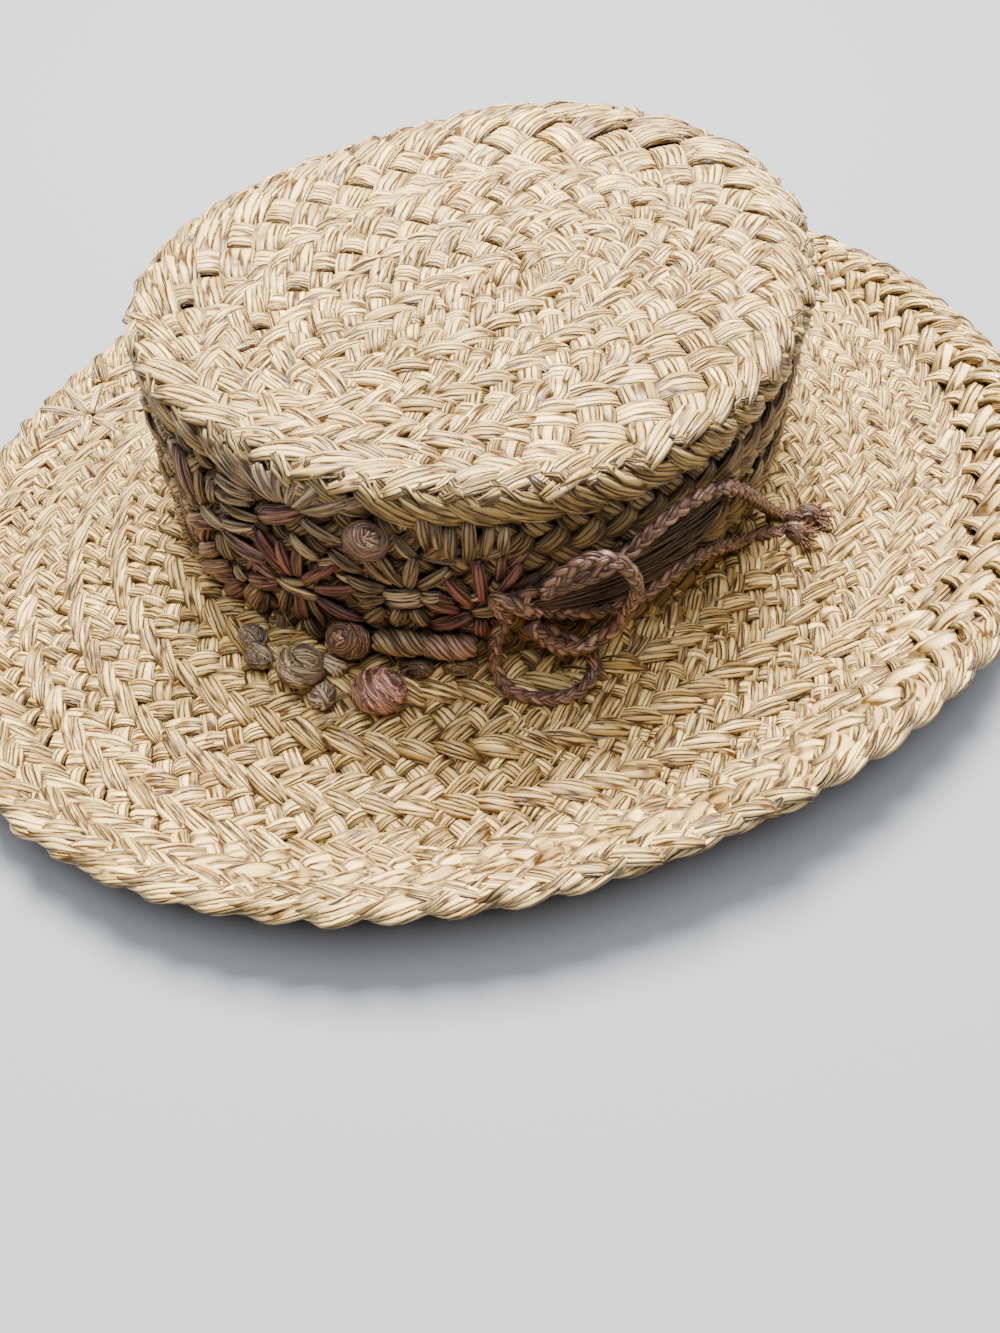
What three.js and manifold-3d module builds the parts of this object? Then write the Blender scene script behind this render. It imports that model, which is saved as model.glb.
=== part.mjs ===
// A boater hat sewn from rows of flat raffia plait, trimmed with dyed raffia: a flat oval
// crown, a wide brim whose rim turns up, stitched flowers, wound berries and a braided bow.
// Lengths are millimetres and +Z is up. The origin lies under the middle of the brim, on the
// surface that the hat rests on. The ovals are longer along X, and the bow faces -Y.

import * as THREE from 'three';
import { mergeVertices } from 'three/addons/utils/BufferGeometryUtils.js';
import Module from 'manifold-3d';

const manifold = await Module();
manifold.setup();

// Ovals seen from above: a superellipse whose radius also swells three times round.
const tipOval = { x: 1.7, y: -0.8, a: 102.5, b: 88, power: 2.1, cos3: 0.024, sin3: 0.0295 };
const footOval = { x: 1.7, y: -0.8, a: 106.5, b: 87, power: 2.1, cos3: 0.01, sin3: 0.04 };
const rimOval = { x: 3.9, y: -0.5, a: 192.2, b: 168.5, power: 2, cos3: -0.0206, sin3: -0.0027 };

const crownHeight = 83; // top of the tip above the resting surface
const footHeight = 19; // top of the brim where the crown stands on it
const wall = 3; // straw plait
const gap = 0.3; // between pieces that touch
const seat = 0.75; // underside of a trim piece above the plain plait, which its ribs narrow
const facets = 48; // round the hat

// The resting ring: where across the brim it lies, and how far the rim rises above it.
const dip = { middle: 0.7, nearFront: 0.09, halfWidth: 0.03 };
const rimRise = { mean: 13.2, right: -2.2, back: -11.3 };

// Rows of plait on the crown, from the middle of the tip down to the foot.
// across: 1 at the tip's edge. down: mm below the tip. proud: mm above the plain surface.
const tipRows = [
    { across: 0.13, proud: -0.3 },
    { across: 0.25, proud: -0.9 },
    { across: 0.38, proud: 0 },
    { across: 0.5, proud: -0.9 },
    { across: 0.64, proud: 0 },
    { across: 0.77, proud: -0.9 },
    { across: 0.9, proud: 0 },
    { across: 0.975, proud: -0.4 },
];
const sideRows = [
    { down: 1.6, proud: 0 },
    { down: 4, proud: 0.3 },
    { down: 14, proud: 0.3 },
    { down: 22, proud: -0.6 },
    { down: 32, proud: 0.3 },
    { down: 43, proud: -0.6 },
    { down: 54, proud: 0.3 },
];

// Rows of plait on the brim. The inner zone runs from the crown to the resting ring and the
// outer zone from there to the rim. part: share of the zone. over: mm from the wall's middle
// to its top. under: the same to its underside, or null where the underside runs straight on.
const innerRows = [
    { part: 0, over: 1.5, under: -1.5 },
    { part: 0.17, over: 1.8, under: null },
    { part: 0.34, over: 0.9, under: -1.5 },
    { part: 0.52, over: 1.8, under: null },
    { part: 0.7, over: 0.9, under: -1.5 },
    { part: 0.86, over: 1.8, under: null },
    { part: 1, over: 1.2, under: -1.5 },
];
const outerRows = [
    { part: 0, over: 1.2, under: -1.5 },
    { part: 0.2, over: 1.8, under: null },
    { part: 0.42, over: 0.9, under: -1.5 },
    { part: 0.65, over: 1.8, under: -1.5 },
    { part: 0.84, over: 2.6, under: -2.6 },
    { part: 0.96, over: 2.8, under: -2.8 },
    { part: 1, over: 1.2, under: -1.2 },
];

const colours = {
    straw: 0xd9bd88,
    taupe: 0x9a7f62,
    dustyRose: 0x8f5a50,
    olive: 0x7d6640,
    redRose: 0x6d3532,
    berryRose: 0xa06a5c,
    berryTan: 0xa98066,
    berryOlive: 0x83704f,
    mauveBrown: 0x7a5448,
    darkBrown: 0x5b3d2c,
};

const radians = THREE.MathUtils.degToRad;

function ovalRadius(oval, angle) {
    const c = Math.abs(Math.cos(angle)) / oval.a;
    const s = Math.abs(Math.sin(angle)) / oval.b;
    const radius = (c ** oval.power + s ** oval.power) ** (-1 / oval.power);
    return radius * (1 + oval.cos3 * Math.cos(3 * angle) + oval.sin3 * Math.sin(3 * angle));
}

function onOval(oval, angle, height, grow = 0) {
    const radius = ovalRadius(oval, angle) + grow;
    return new THREE.Vector3(oval.x + radius * Math.cos(angle), oval.y + radius * Math.sin(angle), height);
}

// The crown's side, which flares a little towards its foot.
function sidePoint(angle, height, out = 0) {
    const rise = (height - footHeight) / (crownHeight - footHeight);
    const foot = onOval(footOval, angle, height, out);
    const top = onOval(tipOval, angle, height, out);
    return foot.lerp(top, rise);
}

function tipPoint(angle, across, height) {
    const middle = new THREE.Vector3(tipOval.x, tipOval.y, height);
    return middle.lerp(onOval(tipOval, angle, height), across);
}

// Height of the middle of the brim's wall. share: 0 at the crown, 1 at the rim.
function dipShare(angle) {
    return dip.middle + dip.nearFront * Math.sin(angle);
}

function brimMiddle(angle, share) {
    const low = wall / 2;
    const start = dipShare(angle) - dip.halfWidth;
    const end = dipShare(angle) + dip.halfWidth;
    if (share <= start) {
        const t = share / start;
        const fall = 0.35 * t * t * (3 - 2 * t) + 0.65 * t * (2 - t);
        return THREE.MathUtils.lerp(footHeight - wall / 2, low, fall);
    }
    if (share < end) return low;
    const t = (share - end) / (1 - end);
    const rise = rimRise.mean + rimRise.right * Math.cos(angle) + rimRise.back * Math.sin(angle);
    return low + rise * (0.5 * t * t * (3 - 2 * t) + 0.5 * t);
}

function brimPoint(angle, share, over = 0) {
    const point = onOval(footOval, angle, 0).lerp(onOval(rimOval, angle, 0), share);
    point.z = brimMiddle(angle, share) + over;
    return point;
}

// One ring of points round the hat.
function ringOf(pointAt) {
    return Array.from({ length: facets }, (_, i) => pointAt((2 * Math.PI * i) / facets));
}

// A closed skin through rings of equal length. Its two ends close on a point each, on a fan
// over an open section, or on each other when the rings run right round a section.
function skin(rings, { first = null, last = null, loop = false } = {}) {
    const count = rings[0].length;
    const points = rings.flat();
    const faces = [];
    const steps = loop ? rings.length : rings.length - 1;
    for (let r = 0; r < steps; r++) {
        const next = (r + 1) % rings.length;
        for (let i = 0; i < count; i++) {
            const j = (i + 1) % count;
            faces.push(r * count + i, r * count + j, next * count + j);
            faces.push(r * count + i, next * count + j, next * count + i);
        }
    }
    const closeOn = (centre, base, flip) => {
        const apex = points.push(centre) - 1;
        for (let i = 0; i < count; i++) {
            const j = (i + 1) % count;
            if (flip) faces.push(apex, base + j, base + i);
            else faces.push(apex, base + i, base + j);
        }
    };
    if (first) closeOn(first, 0, true);
    if (last) closeOn(last, (rings.length - 1) * count, false);
    const geometry = new THREE.BufferGeometry().setFromPoints(points);
    geometry.setIndex(faces);
    return facingOut(geometry);
}

// Turns the faces over where they point inwards.
function facingOut(geometry) {
    const place = geometry.attributes.position;
    const index = geometry.index;
    const [a, b, c] = [new THREE.Vector3(), new THREE.Vector3(), new THREE.Vector3()];
    let volume = 0;
    for (let i = 0; i < index.count; i += 3) {
        a.fromBufferAttribute(place, index.getX(i));
        b.fromBufferAttribute(place, index.getX(i + 1));
        c.fromBufferAttribute(place, index.getX(i + 2));
        volume += a.dot(b.cross(c));
    }
    if (volume < 0) {
        for (let i = 0; i < index.count; i += 3) {
            const held = index.getX(i);
            index.setX(i, index.getX(i + 1));
            index.setX(i + 1, held);
        }
    }
    return geometry;
}

function toSolid(geometry) {
    const bare = geometry.clone();
    bare.deleteAttribute('normal');
    bare.deleteAttribute('uv');
    const merged = mergeVertices(bare, 1e-4);
    return new manifold.Manifold(new manifold.Mesh({
        numProp: 3,
        vertProperties: new Float32Array(merged.attributes.position.array),
        triVerts: new Uint32Array(merged.index.array),
    }));
}

function toGeometry(solid) {
    const mesh = solid.getMesh();
    const geometry = new THREE.BufferGeometry();
    geometry.setAttribute('position', new THREE.BufferAttribute(new Float32Array(mesh.vertProperties), 3));
    geometry.setIndex(new THREE.BufferAttribute(new Uint32Array(mesh.triVerts), 1));
    return geometry;
}

const hat = new THREE.Group();

function addPiece(name, geometry, colour) {
    geometry.computeVertexNormals();
    const material = new THREE.MeshStandardMaterial({ color: colour, roughness: 0.85, metalness: 0 });
    const mesh = new THREE.Mesh(geometry, material);
    mesh.name = name;
    hat.add(mesh);
}

// Crown: the tip and side as one shell, open at the foot.
function makeCrown() {
    const outer = tipRows.map((row) => ringOf((angle) => tipPoint(angle, row.across, crownHeight + row.proud)));
    for (const row of sideRows) outer.push(ringOf((angle) => sidePoint(angle, crownHeight - row.down, row.proud)));
    const foot = footHeight + gap;
    outer.push(ringOf((angle) => sidePoint(angle, foot)));
    const inner = [
        ringOf((angle) => sidePoint(angle, foot, -wall)),
        ringOf((angle) => sidePoint(angle, crownHeight - 40, -wall)),
        ringOf((angle) => sidePoint(angle, crownHeight - wall - 2.5, -wall)),
        ringOf((angle) => tipPoint(angle, 0.94, crownHeight - wall - 0.9)),
        ringOf((angle) => tipPoint(angle, 0.5, crownHeight - wall - 0.9)),
    ];
    return skin([...outer, ...inner], {
        first: new THREE.Vector3(tipOval.x, tipOval.y, crownHeight - 0.6),
        last: new THREE.Vector3(tipOval.x, tipOval.y, crownHeight - wall - 0.9),
    });
}

// Brim: one closed ring section. Its hole is as wide as the inside of the crown.
function makeBrim() {
    const innerShare = (part, angle) => part * (dipShare(angle) - dip.halfWidth);
    const outerShare = (part, angle) => {
        const start = dipShare(angle) + dip.halfWidth;
        return start + part * (1 - start);
    };
    const rows = [
        ...innerRows.map((row) => ({ ...row, shareAt: (angle) => innerShare(row.part, angle) })),
        ...outerRows.map((row) => ({ ...row, shareAt: (angle) => outerShare(row.part, angle) })),
    ];
    const top = rows.map((row) => ringOf((angle) => brimPoint(angle, row.shareAt(angle), row.over)));
    const lower = rows.filter((row) => row.under !== null).reverse();
    const under = lower.map((row) => ringOf((angle) => brimPoint(angle, row.shareAt(angle), row.under)));
    const collar = [
        ringOf((angle) => onOval(footOval, angle, footHeight - wall, -wall)),
        ringOf((angle) => onOval(footOval, angle, footHeight, -wall)),
    ];
    return skin([...top, ...under, ...collar], { loop: true });
}

addPiece('crown', makeCrown(), colours.straw);
addPiece('brim', makeBrim(), colours.straw);

// A frame on the crown's side or the brim: where, outwards, right and up along the surface.
function sideFrame(angle, height, out) {
    const at = sidePoint(radians(angle), height, out);
    const right = sidePoint(radians(angle + 1), height).sub(sidePoint(radians(angle - 1), height)).normalize();
    const up = sidePoint(radians(angle), height + 1).sub(sidePoint(radians(angle), height - 1)).normalize();
    return { at, right, up, out: right.clone().cross(up).normalize() };
}

function brimFrame(angle, share, over) {
    const at = brimPoint(radians(angle), share, over);
    const right = brimPoint(radians(angle + 1), share).sub(brimPoint(radians(angle - 1), share)).normalize();
    const up = brimPoint(radians(angle), share - 0.02).sub(brimPoint(radians(angle), share + 0.02)).normalize();
    return { at, right, up, out: right.clone().cross(up).normalize() };
}

// A pointed flattened pad lying on a frame, its length at a turn from the frame's right.
function pad(frame, turn, length, width, thickness, sides = 6, rows = 4) {
    const along = frame.right.clone().multiplyScalar(Math.cos(radians(turn)));
    along.addScaledVector(frame.up, Math.sin(radians(turn)));
    const across = frame.out.clone().cross(along);
    const geometry = new THREE.SphereGeometry(0.5, sides, rows);
    const place = new THREE.Matrix4().makeBasis(
        across.multiplyScalar(width),
        along.multiplyScalar(length),
        frame.out.clone().multiplyScalar(-thickness),
    );
    place.setPosition(frame.at);
    return geometry.applyMatrix4(place);
}

// Petals of a flower on the crown. turn: degrees from the right. reach: mm to the petal's end.
const petal = { width: 5.2, thickness: 3.6, start: 2 };
const flowers = {
    flower_taupe: {
        angle: 195.3, height: 66, colour: colours.taupe, centre: 7,
        petals: [
            { turn: 111, reach: 17 }, { turn: 91, reach: 16.5 }, { turn: 71, reach: 17 }, { turn: 52, reach: 19 },
            { turn: 33, reach: 20 }, { turn: 8, reach: 12 }, { turn: 150, reach: 15 }, { turn: 172, reach: 16 },
        ],
    },
    flower_dusty_rose: {
        angle: 194.6, height: 42.5, colour: colours.dustyRose, centre: 8,
        petals: [
            { turn: 165, reach: 21 }, { turn: 143, reach: 17 }, { turn: 118, reach: 13 }, { turn: 76, reach: 13 },
            { turn: 42, reach: 16 }, { turn: 10, reach: 17 }, { turn: 343, reach: 16 }, { turn: 312, reach: 13 },
            { turn: 280, reach: 14 }, { turn: 250, reach: 15 }, { turn: 221, reach: 21 }, { turn: 192, reach: 20 },
        ],
    },
    flower_olive: {
        angle: 213.3, height: 47.5, colour: colours.olive, centre: 7,
        petals: [
            { turn: 84, reach: 15 }, { turn: 60, reach: 16 }, { turn: 40, reach: 16 }, { turn: 118, reach: 15 },
            { turn: 150, reach: 14 }, { turn: 185, reach: 11 }, { turn: 232, reach: 12 }, { turn: 262, reach: 12 },
            { turn: 295, reach: 12 },
        ],
    },
    flower_red_rose: {
        angle: 226.3, height: 43, colour: colours.redRose, centre: 7,
        petals: [
            { turn: 96, reach: 19 }, { turn: 64, reach: 20 }, { turn: 134, reach: 14 }, { turn: 169, reach: 12 },
            { turn: 207, reach: 15 }, { turn: 235, reach: 13 }, { turn: 263, reach: 13 },
        ],
    },
};

// Each trim piece gives way to the ones made before it, grown by the gap.
const taken = [];

function fuse(geometries) {
    return geometries.map(toSolid).reduce((whole, next) => whole.add(next));
}

function addTrim(name, build, colour) {
    let solid = fuse(build(0));
    for (const other of taken) solid = solid.subtract(other);
    const bodies = solid.decompose().sort((a, b) => b.volume() - a.volume());
    addPiece(name, toGeometry(bodies[0]), colour);
    taken.push(fuse(build(2 * gap)));
}

// The bow's loops and tails of braided cord. Every other trim piece gives way to them.
const cordWidth = 4.2;
const cordSides = 8;
const cords = {
    loop_upper: {
        steps: 20,
        route: [
            [-60.8, -84, 41.6], [-58.2, -86, 36.5], [-54, -88, 31], [-47.5, -90.5, 27], [-42, -93, 29],
            [-38, -95.5, 34], [-36.5, -97.5, 43], [-37.5, -99.5, 53], [-41, -98, 61.5], [-45, -94.5, 65],
            [-49.5, -90.8, 64], [-54, -87.6, 59.5], [-57.8, -85.9, 54.5],
        ],
    },
    loop_lower: {
        steps: 18,
        route: [
            [-61.6, -76.2, 39.8], [-64.2, -75.4, 35], [-66, -75.2, 29.5], [-66.8, -76, 23.5], [-67.2, -79, 18.8],
            [-66.2, -83.2, 16.2], [-62.5, -88.2, 15], [-57.2, -92.8, 14.5], [-51.5, -95, 15], [-46.2, -94.4, 16],
            [-42.8, -92, 18.3], [-43.6, -89, 22], [-47.6, -86.2, 26.5], [-52.4, -83, 32], [-56.6, -80.2, 37.6],
        ],
    },
    tail_upper: {
        steps: 20,
        route: [
            [-54.7, -81.8, 47.9], [-50, -84.8, 50.2], [-45, -88, 51.8], [-40.5, -90.4, 53.5], [-36.5, -92, 56],
            [-30, -93.8, 60], [-24, -95.2, 63.6], [-16.5, -96.2, 65.6], [-8, -97, 65], [0.5, -97.4, 61.5],
            [10, -97.2, 53], [21, -95, 41.5], [32, -92.5, 29.5], [40, -91.5, 21.3], [45.4, -93.1, 17],
            [50, -94.7, 15.6],
        ],
    },
    tail_lower: {
        steps: 16,
        route: [
            [-55.4, -81.3, 43], [-50.2, -83.9, 39.2], [-42.3, -87.1, 35.8], [-34.4, -90.1, 33.8],
            [-26.3, -92.6, 33.6], [-19, -94.2, 36], [-12.5, -95.2, 38], [-4.3, -95.8, 37.4], [7.6, -95.2, 32],
            [16, -93.8, 26], [25.1, -92.2, 20.6], [34, -93.9, 17.8], [40, -96, 16.3],
        ],
    },
};

function cordSection(width) {
    const outline = new THREE.Shape();
    for (let i = 0; i < cordSides; i++) {
        const turn = (2 * Math.PI * (i + 0.5)) / cordSides;
        const point = [(width / 2) * Math.cos(turn), (width / 2) * Math.sin(turn)];
        if (i === 0) outline.moveTo(...point);
        else outline.lineTo(...point);
    }
    outline.closePath();
    return outline;
}

// A tube along a route. grow: added all round, and at both ends.
function cordTube({ route, steps }, grow = 0) {
    const points = route.map((point) => new THREE.Vector3(...point));
    const lengthen = (end, before) => end.add(end.clone().sub(before).setLength(grow));
    lengthen(points[0], points[1]);
    lengthen(points.at(-1), points.at(-2));
    return new THREE.ExtrudeGeometry(cordSection(cordWidth + 2 * grow), {
        steps, extrudePath: new THREE.CatmullRomCurve3(points), bevelEnabled: false,
    });
}

for (const [name, cord] of Object.entries(cords)) {
    addPiece(name, toGeometry(toSolid(cordTube(cord))), colours.mauveBrown);
    taken.push(toSolid(cordTube(cord, gap)));
}

// The bow's knot, which the loops and tails come out of.
const knot = { angle: 231.2, height: 46, out: 6.4, size: 15.5, width: 7.5, depth: 11 };

addTrim('bow_knot', (grow) => [50, 10, -30, -70].map((turn) => pad(
    sideFrame(knot.angle, knot.height, knot.out),
    turn, knot.size + grow, knot.width + grow, knot.depth + grow,
)), colours.mauveBrown);

// The knots at the ends of the tails, each with a short fray. at: the knot's middle.
const tailEnds = {
    tail_upper_end: { at: [53.2, -95.9, 14.9], towards: [5, -3.6, -1.2] },
    tail_lower_end: { at: [42.6, -98.4, 15.4], towards: [3, -4.6, -1.2] },
};

for (const [name, end] of Object.entries(tailEnds)) {
    const right = new THREE.Vector3(...end.towards).normalize();
    const up = new THREE.Vector3(0, 0, 1).cross(right).normalize();
    const out = right.clone().cross(up);
    const centre = new THREE.Vector3(...end.at);
    const frame = { at: centre, right, up, out };
    addTrim(name, (grow) => {
        const pads = [pad(frame, 0, 7 + grow, 7 + grow, 5.2 + grow, 8, 6)];
        for (const spread of [-38, -13, 13, 38]) {
            const along = right.clone().multiplyScalar(Math.cos(radians(spread)));
            along.addScaledVector(up, Math.sin(radians(spread)));
            pads.push(pad({ ...frame, at: centre.clone().addScaledVector(along, 4.6) }, spread, 8 + grow, 2.4, 2.4));
        }
        return pads;
    }, colours.darkBrown);
}

// Wound berries and small knots. On the crown the second place value is a height, on the
// brim it is a share of the brim's width.
const berries = [
    { name: 'berry_rose_upper', on: 'side', angle: 209.6, place: 68, size: 11, deep: 8, colour: colours.berryTan },
    { name: 'berry_rose_lower', on: 'side', angle: 204.2, place: 27, size: 12, deep: 8.5, colour: colours.berryRose },
    { name: 'roll_olive', on: 'side', angle: 212.4, place: 28, size: 13.5, deep: 7, colour: colours.berryOlive },
    { name: 'roll_rose', on: 'side', angle: 220, place: 28, size: 14, deep: 7, colour: colours.berryTan },
    { name: 'berry_olive', on: 'brim', angle: 198.2, place: 0.14, size: 13, deep: 9, colour: colours.berryOlive },
    { name: 'berry_rose_brim', on: 'brim', angle: 210.6, place: 0.17, size: 14.5, deep: 10, colour: colours.berryRose },
];

for (const berry of berries) {
    const frameAt = berry.on === 'side' ? sideFrame : brimFrame;
    const base = berry.on === 'side' ? seat : seat + wall / 2;
    const high = berry.name.startsWith('roll') ? 0.62 : 0.92;
    addTrim(berry.name, (grow) => [pad(
        frameAt(berry.angle, berry.place, base + berry.deep / 2),
        0, berry.size + grow, berry.size * high + grow, berry.deep + grow, 8, 6,
    )], berry.colour);
}

const roseKnots = [
    { angle: 176.5, height: 31, size: 8 },
    { angle: 179.5, height: 27.5, size: 8 },
    { angle: 177, height: 24.5, size: 7 },
];

addTrim('knots_rose', (grow) => roseKnots.map((knot) => pad(
    sideFrame(knot.angle, knot.height, seat + 2.5),
    30, knot.size + grow, 6 + grow, 5 + grow,
)), colours.dustyRose);

function flowerPads(frameAt, flower, base, grow, leaf = petal) {
    const centre = frameAt(flower.angle, flower.height, base + leaf.thickness * 0.6);
    const pads = [pad(centre, 0, flower.centre + grow, flower.centre + grow, leaf.thickness * 1.2 + grow)];
    for (const { turn, reach } of flower.petals) {
        const length = reach - leaf.start;
        const frame = frameAt(flower.angle, flower.height, base + leaf.thickness / 2);
        const toMiddle = leaf.start + length / 2;
        const moved = flower.moved(frame, turn, toMiddle, base + leaf.thickness / 2);
        pads.push(pad(moved, turn, length + grow, leaf.width + grow, leaf.thickness + grow));
    }
    return pads;
}

// The frame a distance away along the crown's side, so a petal follows its curve.
function alongSide(flower) {
    return (frame, turn, distance, out) => {
        const perDegree = radians(1) * ovalRadius(footOval, radians(flower.angle));
        const angle = flower.angle + (distance * Math.cos(radians(turn))) / perDegree;
        return sideFrame(angle, flower.height + distance * Math.sin(radians(turn)), out);
    };
}

for (const [name, flower] of Object.entries(flowers)) {
    flower.moved = alongSide(flower);
    addTrim(name, (grow) => flowerPads(sideFrame, flower, seat, grow), flower.colour);
}

// The flower of natural straw near the rim, on the left of the brim.
const brimFlower = { angle: 126.4, height: 0.78, centre: 6, leaf: { width: 4, thickness: 2.8, start: 1.5 } };
brimFlower.petals = [20, 66, 112, 155, 200, 243, 288, 333].map((turn) => ({ turn, reach: 17 }));
brimFlower.moved = (frame, turn, distance, over) => {
    const angle = radians(brimFlower.angle);
    const width = ovalRadius(rimOval, angle) - ovalRadius(footOval, angle);
    const perDegree = radians(1) * (ovalRadius(footOval, angle) + brimFlower.height * width);
    const share = brimFlower.height - (distance * Math.sin(radians(turn))) / width;
    return brimFrame(brimFlower.angle + (distance * Math.cos(radians(turn))) / perDegree, share, over);
};
addTrim('brim_flower', (grow) => flowerPads(
    brimFrame, brimFlower, seat + 0.6 + wall / 2, grow, brimFlower.leaf,
), colours.straw);

// The hank: loose strands that fan out from the knot along the side and end cut and ragged.
// Each lock has the heights where it starts and ends, and the angle where it is cut.
const hankStart = { angle: 236, low: 43, high: 51 };
const hankLocks = [
    { low: 37.5, high: 41.5, cut: 255 },
    { low: 41.5, high: 45.5, cut: 259 },
    { low: 45.5, high: 49.5, cut: 262.5 },
    { low: 49.5, high: 53.5, cut: 265.5 },
    { low: 53.5, high: 57.5, cut: 268 },
    { low: 57.5, high: 60.5, cut: 265.5 },
];
const hankStations = 6;
const lockThickness = { edge: 1.1, ridge: 2.7 };

function makeHank() {
    const lockCount = hankLocks.length;
    const rings = [];
    for (let station = 0; station <= hankStations; station++) {
        const t = station / hankStations;
        const ring = [];
        const under = [];
        hankLocks.forEach((lock, i) => {
            const startLow = THREE.MathUtils.lerp(hankStart.low, hankStart.high, i / lockCount);
            const startHigh = THREE.MathUtils.lerp(hankStart.low, hankStart.high, (i + 1) / lockCount);
            const low = THREE.MathUtils.lerp(startLow, lock.low, t);
            const high = THREE.MathUtils.lerp(startHigh, lock.high, t);
            const angle = radians(THREE.MathUtils.lerp(hankStart.angle, lock.cut, t));
            ring.push(sidePoint(angle, low + 0.15 * (high - low), seat + lockThickness.edge));
            ring.push(sidePoint(angle, (low + high) / 2, seat + lockThickness.ridge));
            ring.push(sidePoint(angle, high - 0.15 * (high - low), seat + lockThickness.edge));
            under.push(sidePoint(angle, low + 0.15 * (high - low), seat));
            under.push(sidePoint(angle, high - 0.15 * (high - low), seat));
        });
        rings.push([...ring, ...under.reverse()]);
    }
    const middleOf = (ring) => ring.reduce((sum, p) => sum.add(p), new THREE.Vector3()).divideScalar(ring.length);
    return skin(rings, { first: middleOf(rings[0]), last: middleOf(rings[hankStations]) });
}

const hank = taken.reduce((solid, other) => solid.subtract(other), toSolid(makeHank()));
addPiece('raffia_hank', toGeometry(hank), colours.darkBrown);

export default hat;
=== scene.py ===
import math

import bpy
import numpy as np
from mathutils import Matrix


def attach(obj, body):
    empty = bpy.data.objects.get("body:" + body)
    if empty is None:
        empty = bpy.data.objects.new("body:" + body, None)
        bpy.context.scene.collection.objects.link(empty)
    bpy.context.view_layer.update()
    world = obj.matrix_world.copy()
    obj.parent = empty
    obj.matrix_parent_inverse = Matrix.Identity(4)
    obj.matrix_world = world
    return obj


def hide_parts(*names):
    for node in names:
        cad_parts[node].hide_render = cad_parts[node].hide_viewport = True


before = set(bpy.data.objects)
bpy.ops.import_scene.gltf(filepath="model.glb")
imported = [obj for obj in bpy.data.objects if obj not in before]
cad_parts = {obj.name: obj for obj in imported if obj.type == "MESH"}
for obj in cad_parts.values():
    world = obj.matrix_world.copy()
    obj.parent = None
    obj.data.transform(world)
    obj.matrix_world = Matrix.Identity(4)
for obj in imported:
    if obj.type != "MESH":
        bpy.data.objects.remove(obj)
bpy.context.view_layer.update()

# Lengths in this file are millimetres until a mesh is made.
millimetre = 0.001

# The hat's surfaces: ovals seen from above that also swell three times round.
tipOval = {"x": 1.7, "y": -0.8, "a": 102.5, "b": 88.0, "power": 2.1, "cos3": 0.024, "sin3": 0.0295}
footOval = {"x": 1.7, "y": -0.8, "a": 106.5, "b": 87.0, "power": 2.1, "cos3": 0.01, "sin3": 0.04}
rimOval = {"x": 3.9, "y": -0.5, "a": 192.2, "b": 168.5, "power": 2.0, "cos3": -0.0206, "sin3": -0.0027}
form = {"crownHeight": 83.0, "footHeight": 19.0, "wall": 3.0}
dip = {"middle": 0.7, "nearFront": 0.09, "halfWidth": 0.03, "ease": 0.35, "outerEase": 0.5, "past": 1.1}
rimRise = {"mean": 13.2, "right": -2.2, "back": -11.3}


def ovalRadius(oval, angle):
    c = np.abs(np.cos(angle)) / oval["a"]
    s = np.abs(np.sin(angle)) / oval["b"]
    radius = (c ** oval["power"] + s ** oval["power"]) ** (-1 / oval["power"])
    return radius * (1 + oval["cos3"] * np.cos(3 * angle) + oval["sin3"] * np.sin(3 * angle))


def onOval(oval, angle, grow=0.0):
    radius = ovalRadius(oval, angle) + grow
    return np.stack([oval["x"] + radius * np.cos(angle), oval["y"] + radius * np.sin(angle)], -1)


def withHeight(flat, height):
    return np.concatenate([flat, (np.zeros(flat.shape[:-1]) + height)[..., None]], -1)


def smoothStep(part):
    return part * part * (3 - 2 * part)


def lengthAlong(points):
    return np.concatenate([[0], np.cumsum(np.linalg.norm(np.diff(points, axis=0), axis=1))])


# The crown's side. Above its edge the surface goes on over the edge and in across the tip.
crownEdge = {"height": 82.0, "turnedAfter": 3.0, "inwardAfter": 0.6, "rise": 1.0}


def sidePoint(angle, height, out=0.0):
    low = np.minimum(height, crownEdge["height"])
    over = np.clip(height - crownEdge["height"], 0, None)
    lean = np.clip(over / crownEdge["turnedAfter"], 0, 1) * math.pi / 2
    rise = (low - form["footHeight"]) / (form["crownHeight"] - form["footHeight"])
    grow = out * np.cos(lean) - np.clip(over - crownEdge["inwardAfter"], 0, None)
    foot = onOval(footOval, angle, grow)
    top = onOval(tipOval, angle, grow)
    flat = foot + (top - foot) * np.asarray(rise)[..., None]
    return withHeight(flat, low + np.minimum(over, crownEdge["rise"]) + out * np.sin(lean))


def brimMiddle(angle, share):
    middle = dip["middle"] + dip["nearFront"] * np.sin(angle)
    start = middle - dip["halfWidth"]
    end = middle + dip["halfWidth"]
    inner = np.clip(share / start, 0, 1)
    fall = dip["ease"] * smoothStep(inner) + (1 - dip["ease"]) * inner * (2 - inner)
    low = form["wall"] / 2
    high = form["footHeight"] - low
    outer = np.clip((share - end) / (1 - end), 0, dip["past"])
    rise = rimRise["mean"] + rimRise["right"] * np.cos(angle) + rimRise["back"] * np.sin(angle)
    climb = dip["outerEase"] * smoothStep(outer) + (1 - dip["outerEase"]) * outer
    return np.where(share < start, high + (low - high) * fall, low + rise * climb)


def brimPoint(angle, share, over=0.0):
    foot = onOval(footOval, angle)
    rim = onOval(rimOval, angle)
    flat = foot + (rim - foot) * np.asarray(share)[..., None]
    return withHeight(flat, brimMiddle(angle, share) + over)


# Camera. The photo was taken from above the front left of the hat.
camera = {
    "at": (-183.46, -210.44, 256.47), "azimuth": -41.4, "elevation": 52.8, "roll": -1.6,
    "lens": 28.09, "sensor": 36, "near": 0.01,
}


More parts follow.
